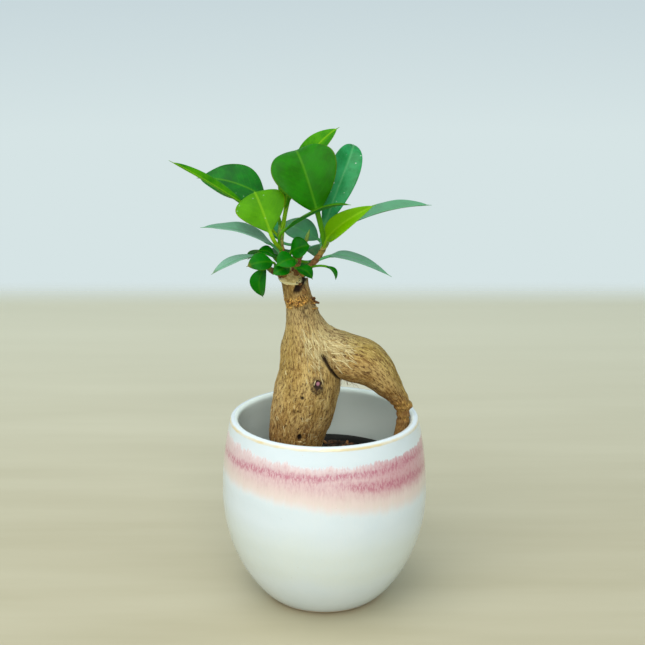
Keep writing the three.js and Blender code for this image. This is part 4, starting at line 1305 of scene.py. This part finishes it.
LEAVES = {
    "leaf_heart": dict(
        shoot="shoot_right", at=0.97, base=(-3.5, -3, 208), tip=(-15, 14.5, 237),
        face=(0, -9, 6), width=34, arch=8.5, fold=11, peak=0.77, full=0.51, youth=0.1,
    ),
    "leaf_crest": dict(
        shoot="shoot_front_left", at=0.75, base=(-15.5, 12, 220), tip=(7.5, 16.5, 248.5),
        face=(-6, -8, 9), width=16.5, arch=4, fold=13, peak=0.54, full=0.52, finish="young_leaf",
    ),
    "leaf_upright_right": dict(
        shoot="shoot_right", at=0.8, base=(-0.5, 5, 199.5), tip=(15, 24.5, 238.5),
        face=(2, -9, 6.5), width=16, arch=8, fold=14, peak=0.85, full=0.46, finish="old_leaf",
        spots=0.7,
    ),
    "leaf_bright_front": dict(
        shoot="shoot_front_left", at=0.7, base=(-27, -8.5, 199), tip=(-35.5, 4.8, 217.5),
        face=(0.5, -9, 4.5), width=26, arch=3.5, fold=5, peak=0.66, full=0.55, finish="young_leaf",
        youth=0.35, spots=0.25,
    ),
    "leaf_bright_behind": dict(
        shoot="shoot_front_left", at=1, base=(-20, 4, 208.5), tip=(-14.5, 13, 230.5),
        face=(-8, -9, 3), width=14.5, arch=1, fold=11, peak=0.55, full=0.59, finish="young_leaf",
    ),
    "leaf_long_left": dict(
        shoot="shoot_front_left", at=0.9, base=(-39.2, 3, 210), tip=(-77, -6, 235),
        face=(5.5, -3.5, 9), width=9.5, arch=0.8, fold=23, peak=0.46, full=0.52, finish="young_leaf",
    ),
    "leaf_dark_left": dict(
        shoot="shoot_front_left", at=0.8, base=(-31, 17.5, 212.2), tip=(-66, 21.5, 221.6),
        face=(3, -6.5, 9), width=26, arch=4, fold=9, peak=0.47, full=0.45, age=0.04, spots=0.35,
    ),
    "leaf_curved_front": dict(
        shoot="shoot_front_left", at=0.62, base=(-20, -8.5, 200.5), tip=(13, -15.5, 214.5),
        face=(-2, 1, 9), width=13, arch=3, fold=12, peak=0.69, full=0.4, youth=0.3,
    ),
    "leaf_bright_right": dict(
        shoot="shoot_right", at=0.9, base=(1.2, -5.6, 195), tip=(25.5, -13, 214.3),
        face=(-6, -9, 3), width=12, arch=5, fold=27, peak=0.41, full=0.4, finish="young_leaf",
        youth=1.0,
    ),
    "leaf_long_right": dict(
        shoot="shoot_right", at=0.75, base=(10.5, 3.5, 200.5), tip=(54, 2.5, 211),
        face=(-1, -0.7, 9), width=18, arch=2.7, fold=15, peak=0.54, full=0.44, finish="old_leaf",
        age=0.45,
    ),
    "leaf_spread_left": dict(
        shoot="shoot_front_left", at=0.5, base=(-27.2, -0.6, 191.7), tip=(-62.7, -1.5, 200.3),
        face=(0.6, -0.9, 9), width=17, arch=3.4, peak=0.47, full=0.4, finish="old_leaf", age=0.75,
    ),
    "leaf_low_left": dict(
        shoot="shoot_left", at=0.85, base=(-35, -2, 186), tip=(-57, -10, 178),
        face=(3, 0.5, 9), width=10.5, arch=1.5, fold=15, finish="old_leaf", age=1.0, scorch=0.35,
    ),
    "leaf_drooping_right": dict(
        shoot="shoot_right", at=0.5, base=(2.7, 0.3, 185.2), tip=(34, -5, 175.6),
        face=(2.3, -1.8, 9), width=12.5, arch=3.1, fold=7, peak=0.3, full=0.44, finish="old_leaf",
        age=0.65,
    ),
    "leaf_hanging": dict(
        shoot="shoot_left", at=0.75, base=(-30, -8, 181), tip=(-31, -9, 166),
        face=(-6, -7, 0), width=12, arch=3.5, fold=15,
    ),
    "leaf_small_left": dict(
        shoot="shoot_left", at=0.55, base=(-26, -9, 184), tip=(-39, -14, 183),
        face=(0, -7, 7), width=11, scorch=0.7,
    ),
    "leaf_small_left_upper": dict(
        shoot="shoot_front_left", at=0.3, base=(-25, -3, 185), tip=(-34, -6, 189),
        face=(0, -4, 9), width=9,
    ),
    "leaf_small_front": dict(
        shoot="shoot_front_left", at=0.2, base=(-15, -11, 186), tip=(-24, -17, 184),
        face=(0, -7, 7), width=11,
    ),
    "leaf_small_front_low": dict(
        shoot="shoot_left", at=0.15, base=(-18, -9, 181), tip=(-26, -15, 179),
        face=(0, -8, 6), width=8,
    ),
    "leaf_inner_front": dict(
        shoot="shoot_centre", at=0.3, base=(-17, -3.5, 188), tip=(-7, -6, 192),
        face=(0, -8, 6), width=12,
    ),
    "leaf_inner_back": dict(
        shoot="shoot_right", at=0.6, base=(-3.2, 9, 192), tip=(-23, 17.6, 198.6),
        face=(-1.5, -6.5, 9), width=15, fold=6, peak=0.47, full=0.51, finish="old_leaf", age=0.35,
    ),
    "leaf_small_low": dict(
        shoot="shoot_right", at=0.1, base=(-14, -8, 181), tip=(-6, -12, 176),
        face=(2, -5, 8), width=8,
    ),
    "leaf_small_right": dict(
        shoot="shoot_right", at=0.3, base=(1, -5, 181), tip=(5.6, -7, 174.5),
        face=(6, -3, 7), width=5,
    ),
    "leaf_back_left": dict(
        shoot="shoot_back", at=0.75, base=(-23, 17, 190), tip=(-42, 36, 195),
        face=(1, 0, 9), width=20, arch=4, fold=12, finish="old_leaf",
    ),
    "leaf_back_tall": dict(
        shoot="shoot_right", at=0.95, base=(1.5, 17, 207), tip=(-1, 30, 233),
        face=(0, -6, 5), width=22, arch=3, full=0.55,
    ),
    "leaf_back_right": dict(
        shoot="shoot_back", at=0.9, base=(-10, 17, 184.5), tip=(-4, 42, 174),
        face=(-1, 0, 9), width=14, arch=4, fold=12, finish="old_leaf",
    ),
    "leaf_back_middle": dict(
        shoot="shoot_back", at=0.6, base=(-16, 20, 183), tip=(-25, 50, 168),
        face=(0, 0, 9), width=16, arch=4, fold=12,
    ),
    "leaf_back_low_left": dict(
        shoot="shoot_back", at=0.45, base=(-22, 14, 182), tip=(-41, 32, 176),
        face=(0, 1, 9), width=16, arch=3, fold=12,
    ),
    "leaf_back_low_right": dict(
        shoot="shoot_back", at=0.4, base=(-9, 14, 179), tip=(-12, 36, 163),
        face=(0, 1, 9), width=12, arch=4, fold=12,
    ),
}

PETIOLE_RADIUS = 0.75
PETIOLE_LEAN = 0.4
BLADE_HALF_THICKNESS = 0.24
BLADE_BODY = 0.95
BLADE_BLUNTNESS = 0.75
DRIP_TIP_WIDTH = 0.08
DRIP_TIP_TAPER = 0.12
VEIN_SPACING = 3.4
VEIN_SWEEP = 0.42
VEIN_BEND = 1.25
HALF_BLADE = np.array(
    [0, 0.02, 0.045, 0.08, 0.13, 0.2, 0.3, 0.42, 0.55, 0.68, 0.8, 0.89, 0.95, 0.985, 1]
)
ACROSS_BLADE = np.concatenate([-HALF_BLADE[:0:-1], HALF_BLADE])


def make_leaf_veins():
    """A blade's midrib and the side veins that sweep from it towards the edge. Across and
    Along are millimetres from the midrib and from the blade's base."""
    sockets = {"Across": "Float", "Along": "Float", "Spacing": "Float"}
    group, given = new_group("leaf_veins", sockets, ("Midrib", "Veins", "Cells"))
    across, along, spacing = (given[name] for name in sockets)
    spot = place(group, "CombineXYZ", {0: across, 1: along}).outputs[0]
    sway = maths(group, "MULTIPLY_ADD", noise(group, spot, 0.25, 2.0), 1.6, -0.8)
    reach = maths(group, "ABSOLUTE", across)
    midrib = fade(group, reach, 0.9, 0.25)
    side = times(group, maths(group, "SIGN", across), 0.3)
    sweep = times(group, maths(group, "POWER", reach, VEIN_BEND), VEIN_SWEEP)
    place_along = maths(group, "SUBTRACT", maths(group, "ADD", along, sway), sweep)
    number = maths(group, "DIVIDE", place_along, spacing)
    phase = maths(group, "FRACT", maths(group, "ADD", number, side))
    away = maths(group, "ABSOLUTE", maths(group, "SUBTRACT", phase, 0.5))
    veins = fade(group, away, 0.13, 0.02)
    veins = times(group, veins, fade(group, reach, 0.3, 1.2))
    cells = noise(group, spot, 3.2, 3.0, 0.6)
    give_back(group, Midrib=midrib, Veins=veins, Cells=cells)
    return group


leaf_veins = make_leaf_veins()


def leaf_look(name, deep, light, rib, rim, under, glow, shine, matt):
    """A leaf's material. deep and light: its mottled green. rib, rim, under: its veins,
    edge and underside. glow: the share of light that passes through. shine: how strongly
    it reflects. matt: its roughness."""
    material, tree, surface = new_material(name, Specular_IOR_Level=shine)
    veins = tree.nodes.new("ShaderNodeGroup")
    veins.node_tree = leaf_veins
    tree.links.new(stored(tree, "leaf_across"), veins.inputs["Across"])
    tree.links.new(stored(tree, "leaf_along"), veins.inputs["Along"])
    veins.inputs["Spacing"].default_value = VEIN_SPACING
    midrib, side_veins, cells = (veins.outputs[part] for part in ("Midrib", "Veins", "Cells"))
    patches = noise(tree, own_place(tree), 95.0, 3.0, 0.6)
    youth = stored(tree, "leaf_youth")
    colour = mixed(tree, fade(tree, patches, 0.3, 0.7), paint(*deep), paint(*light))
    colour = mixed(tree, times(tree, youth, 0.75), colour, paint(116, 172, 0))
    # A pale grey-green painted reflection of the sky, as flat-lying leaves show at a grazing angle.
    colour = mixed(tree, stored(tree, "leaf_age"), colour, paint(126, 170, 146))
    colour = mixed(tree, fade(tree, cells, 0.5, 0.75, 0.0, 0.25), colour, paint(*light))
    underside = stored(tree, "leaf_under")
    colour = mixed(tree, times(tree, underside, 0.8), colour, paint(*under))
    colour = mixed(tree, times(tree, side_veins, 0.05), colour, paint(*rib))
    colour = mixed(tree, times(tree, midrib, stored(tree, "leaf_rib")), colour, paint(*rib))
    edge = times(tree, fade(tree, stored(tree, "leaf_edge"), 0.95, 0.995), 0.5)
    colour = mixed(tree, edge, colour, paint(*rim))
    colour = mixed(tree, stored(tree, "petiole"), colour, paint(*rib))
    spots = place(tree, "TexVoronoi", {"Vector": own_place(tree), "Scale": 260.0})
    spot = fade(tree, spots.outputs["Distance"], 0.12, 0.06)
    spotted = times(tree, spot, stored(tree, "leaf_spots"))
    colour = mixed(tree, spotted, colour, paint(214, 226, 210))
    colour = mixed(tree, stored(tree, "leaf_scorch"), colour, paint(126, 100, 40))
    tree.links.new(colour, surface.inputs["Base Color"])
    rough = fade(tree, cells, 0.3, 0.7, matt - 0.04, matt + 0.06)
    tree.links.new(maths(tree, "MULTIPLY_ADD", underside, 0.2, rough), surface.inputs["Roughness"])
    relief = maths(tree, "SUBTRACT", times(tree, cells, 0.12), side_veins)
    bumped(tree, surface, relief, 0.00003)
    lit_through = mixed(tree, 0.4, colour, paint(120, 190, 0))
    through = place(tree, "BsdfTranslucent", {"Color": lit_through})
    both = place(tree, "MixShader", {0: glow, 1: surface.outputs[0], 2: through.outputs[0]})
    output = tree.nodes["Material Output"]
    tree.links.new(both.outputs[0], output.inputs["Surface"])
    return material


LEAF_PAINTS = {
    "young_leaf": dict(
        deep=(38, 118, 0), light=(72, 150, 0), rib=(136, 186, 24), rim=(160, 150, 30),
        under=(96, 164, 36), glow=0.22, shine=0.08, matt=0.42,
    ),
    "green_leaf": dict(
        deep=(2, 86, 0), light=(10, 116, 0), rib=(84, 150, 16), rim=(112, 126, 16),
        under=(30, 132, 44), glow=0.2, shine=0.1, matt=0.38,
    ),
    "old_leaf": dict(
        deep=(0, 112, 44), light=(38, 150, 84), rib=(84, 166, 100), rim=(96, 156, 96),
        under=(80, 150, 104), glow=0.15, shine=0.28, matt=0.34,
    ),
}
LEAF_LOOKS = {name: leaf_look(name, **paints) for name, paints in LEAF_PAINTS.items()}

def quadratic(first, bow, last, t):
    """Points and directions along a curve that leaves first towards bow and ends at last."""
    t = np.asarray(t, float)[:, None]
    spots = (1 - t) ** 2 * first + 2 * (1 - t) * t * bow + t**2 * last
    ways = (1 - t) * (bow - first) + t * (last - bow)
    return spots, ways / np.linalg.norm(ways, axis=1)[:, None]


def unit(vector):
    """The vector scaled to a length of 1."""
    return vector / np.linalg.norm(vector)


def leaf(
    name, seed, shoot, at, base, tip, face, width, arch=2, fold=10, peak=0.5, full=0.5,
    finish="green_leaf", youth=0.0, age=0.0, spots=0.0, scorch=0.0,
):
    """A leaf with its petiole. shoot, at: the shoot that carries it, and how far along.
    base, tip: the blade's ends. face: the way its upper side looks. arch: how far the midrib
    bows. fold: how steeply the halves rise, in degrees. peak, full: where along the blade it
    bows most, and is widest. youth, spots, scorch: how strongly each shows. The number after
    youth: how strongly a pale reflection of the sky is painted over the blade."""
    limb = Limb([[x, y, z, radius, radius] for x, y, z, radius in SHOOTS[shoot]], 80)
    step = round(at * 79)
    base, tip = np.array(base, float), np.array(tip, float)
    start = limb.middle[step]
    chord = tip - base
    ahead = unit(chord)
    upper = unit(np.array(face, float) - np.dot(face, ahead) * ahead)
    across = np.cross(ahead, upper)
    length = np.linalg.norm(chord)
    small = length < 20
    bow = base + chord * peak + upper * 2 * arch
    spine, spine_way = quadratic(base, bow, tip, np.linspace(0, 1, 34 if small else 56))
    reach = np.linalg.norm(base - start)
    lean = base - spine_way[0] * reach * PETIOLE_LEAN
    stalk, stalk_way = quadratic(start, lean, base, np.linspace(0, 1, 15)[:-1])
    middle = np.vstack([stalk, spine])
    way = np.vstack([stalk_way, spine_way])
    t = np.concatenate([np.zeros(len(stalk)), np.linspace(0, 1, len(spine))])
    side = across - (way @ across)[:, None] * way
    side /= np.linalg.norm(side, axis=1)[:, None]
    normal = np.cross(side, way)

    power = math.log(0.5) / math.log(full)
    body = np.clip(np.sin(math.pi * np.minimum(t / BLADE_BODY, 1) ** power), 0, 1) ** BLADE_BLUNTNESS
    drip = DRIP_TIP_WIDTH * np.minimum((1 - t) / DRIP_TIP_TAPER, 1)
    thick = PETIOLE_RADIUS * (0.8 if small else 1)
    half = np.maximum(width / 2 * np.maximum(body, drip), np.where(t < 0.5, thick, 0.12))
    opening = rises(t, 0.0, 0.16)
    tip_taper = np.minimum((1 - t) / 0.15 + 0.25, 1)

    s = ACROSS_BLADE[None, :]
    round_section = thick * np.sqrt(np.maximum(1 - s**2, 0))
    over = s * half[:, None]
    blade_section = BLADE_HALF_THICKNESS * np.sqrt(np.maximum(1 - s**8, 0))
    furrow = 0.14 * np.exp(-((over / 0.5) ** 2)) * (1 - t)[:, None]
    keel = 0.5 * np.exp(-((over / 0.75) ** 2)) * (1 - 0.85 * t)[:, None]
    open_share = opening[:, None]
    top = (blade_section - furrow) * tip_taper[:, None] * open_share + round_section * (1 - open_share)
    low = (blade_section + keel) * tip_taper[:, None] * open_share + round_section * (1 - open_share)

    rise = math.radians(fold)
    along = np.concatenate([[0], np.cumsum(np.linalg.norm(np.diff(middle, axis=0), axis=1))])
    along -= along[len(stalk)]
    ones = np.ones_like(over)
    flat = np.stack([over, along[:, None] * ones, np.zeros_like(over)], -1).reshape(-1, 3)
    wave = value_noise(flat / 9 + seed, 61).reshape(over.shape) * 0.07 * np.abs(over)
    vein_place = along[:, None] - VEIN_SWEEP * np.abs(over) ** VEIN_BEND
    quilt = 0.02 * np.cos(vein_place * 2 * math.pi / VEIN_SPACING) * np.abs(s) * (1 - s**2)
    curl = np.abs(s) ** 1.25 * (1 - 0.22 * s**4)
    lift = (half[:, None] * math.sin(rise) * curl * 1.15 + wave + quilt) * open_share
    shrink = math.cos(rise) * open_share + (1 - open_share)
    sheet = middle[:, None] + side[:, None] * (over * shrink)[..., None]
    upper_points = sheet + normal[:, None] * (lift + top)[..., None]
    lower_points = sheet + normal[:, None] * (lift - low)[..., None]
    rings = np.concatenate([upper_points, lower_points[:, -2:0:-1]], axis=1)
    count = rings.shape[1]
    points = rings.reshape(-1, 3)
    faces = []
    for ring in range(len(rings) - 1):
        for corner in range(count):
            a, b = ring * count + corner, ring * count + (corner + 1) % count
            faces.append((a, a + count, b + count, b))
    faces.append(tuple(range(count)))
    faces.append(tuple(reversed([len(points) - count + corner for corner in range(count)])))

    def spread(upper_values, lower_values=None):
        """One value for each point, from those of the upper and the lower side."""
        lower_values = upper_values if lower_values is None else lower_values
        return np.concatenate([upper_values, lower_values[:, -2:0:-1]], axis=1).ravel()

    made = mesh_piece(name.replace("leaf_", "blade_"), points, faces, LEAF_LOOKS[finish])
    store(
        made,
        leaf_across=spread(over),
        leaf_along=spread(along[:, None] * ones),
        leaf_edge=spread(np.abs(s) * open_share * ones),
        leaf_under=spread(0 * ones, ones * open_share),
        petiole=spread((1 - rises(t, 0.0, 0.06))[:, None] * ones),
        leaf_youth=np.full(len(points), youth),
        leaf_age=np.full(len(points), age),
        leaf_rib=np.full(len(points), 0.2 if small else 0.5),
        leaf_spots=np.full(len(points), spots),
        leaf_scorch=spread(scorch * rises(t, 0.8, 0.95)[:, None] * ones),
    )
    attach(made, "root")
    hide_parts(name)


for number, (name, shape) in enumerate(LEAVES.items()):
    leaf(name, number * 7.3, **shape)

# ---- Bud ----
# The pointed sheath at the end of the left shoot: two scales wrapped round each other,
# yellow-green with a brown tip.

BUD_RADIUS = 1.1
BUD_LENGTH = 4.5
BUD_PLACE = (-30.6, -5.4, 185)
BUD_LEAN = (-0.34, -0.14, 0.93)
BUD_RINGS = 48
BUD_SIDES = 32
BUD_SHAPE = [
    (-0.08, 0.55),
    (0.0, 0.8),
    (0.12, 1.0),
    (0.35, 0.95),
    (0.6, 0.68),
    (0.82, 0.36),
    (1.0, 0.06),
]

bud_look, tree, surface = new_material("bud_scales", Roughness=0.4)
seam = fade(tree, stored(tree, "seam"), 0.5, 1.0, 0.0, 0.6)
streaks = noise(tree, stretched(tree, own_place(tree), 1600, 1600, 300), 1.0, 3.0)
colour = mixed(tree, streaks, paint(132, 160, 40), paint(186, 196, 84))
colour = mixed(tree, seam, colour, paint(84, 104, 26))
colour = mixed(tree, stored(tree, "brown"), colour, paint(118, 72, 36))
tree.links.new(colour, surface.inputs["Base Color"])
bumped(tree, surface, maths(tree, "SUBTRACT", streaks, seam), 0.0002)

lean = unit(np.array(BUD_LEAN))
foot = np.array(BUD_PLACE) - lean * BUD_LENGTH / 2
stations = []
for reach, share_left in BUD_SHAPE:
    radius = BUD_RADIUS * share_left
    stations.append([*(foot + lean * reach * BUD_LENGTH), radius, radius])
limb = Limb(stations, BUD_RINGS)
points, faces = limb.tube(BUD_SIDES)
spin = np.tile(np.arange(BUD_SIDES) / BUD_SIDES * 2 * math.pi, BUD_RINGS)
growth = np.repeat(np.linspace(0, 1, BUD_RINGS), BUD_SIDES)
wrap = ((spin / (2 * math.pi) + growth * 0.7) * 2) % 1
ways = points - np.repeat(limb.middle, BUD_SIDES, axis=0)
points = points + ways * (0.14 * wrap)[:, None]
bud = mesh_piece("bud_sheath", points, faces, bud_look)
store(bud, seam=rises(wrap, 0.75, 1), brown=rises(growth, 0.86, 1))
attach(bud, "root")
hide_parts("bud_left")
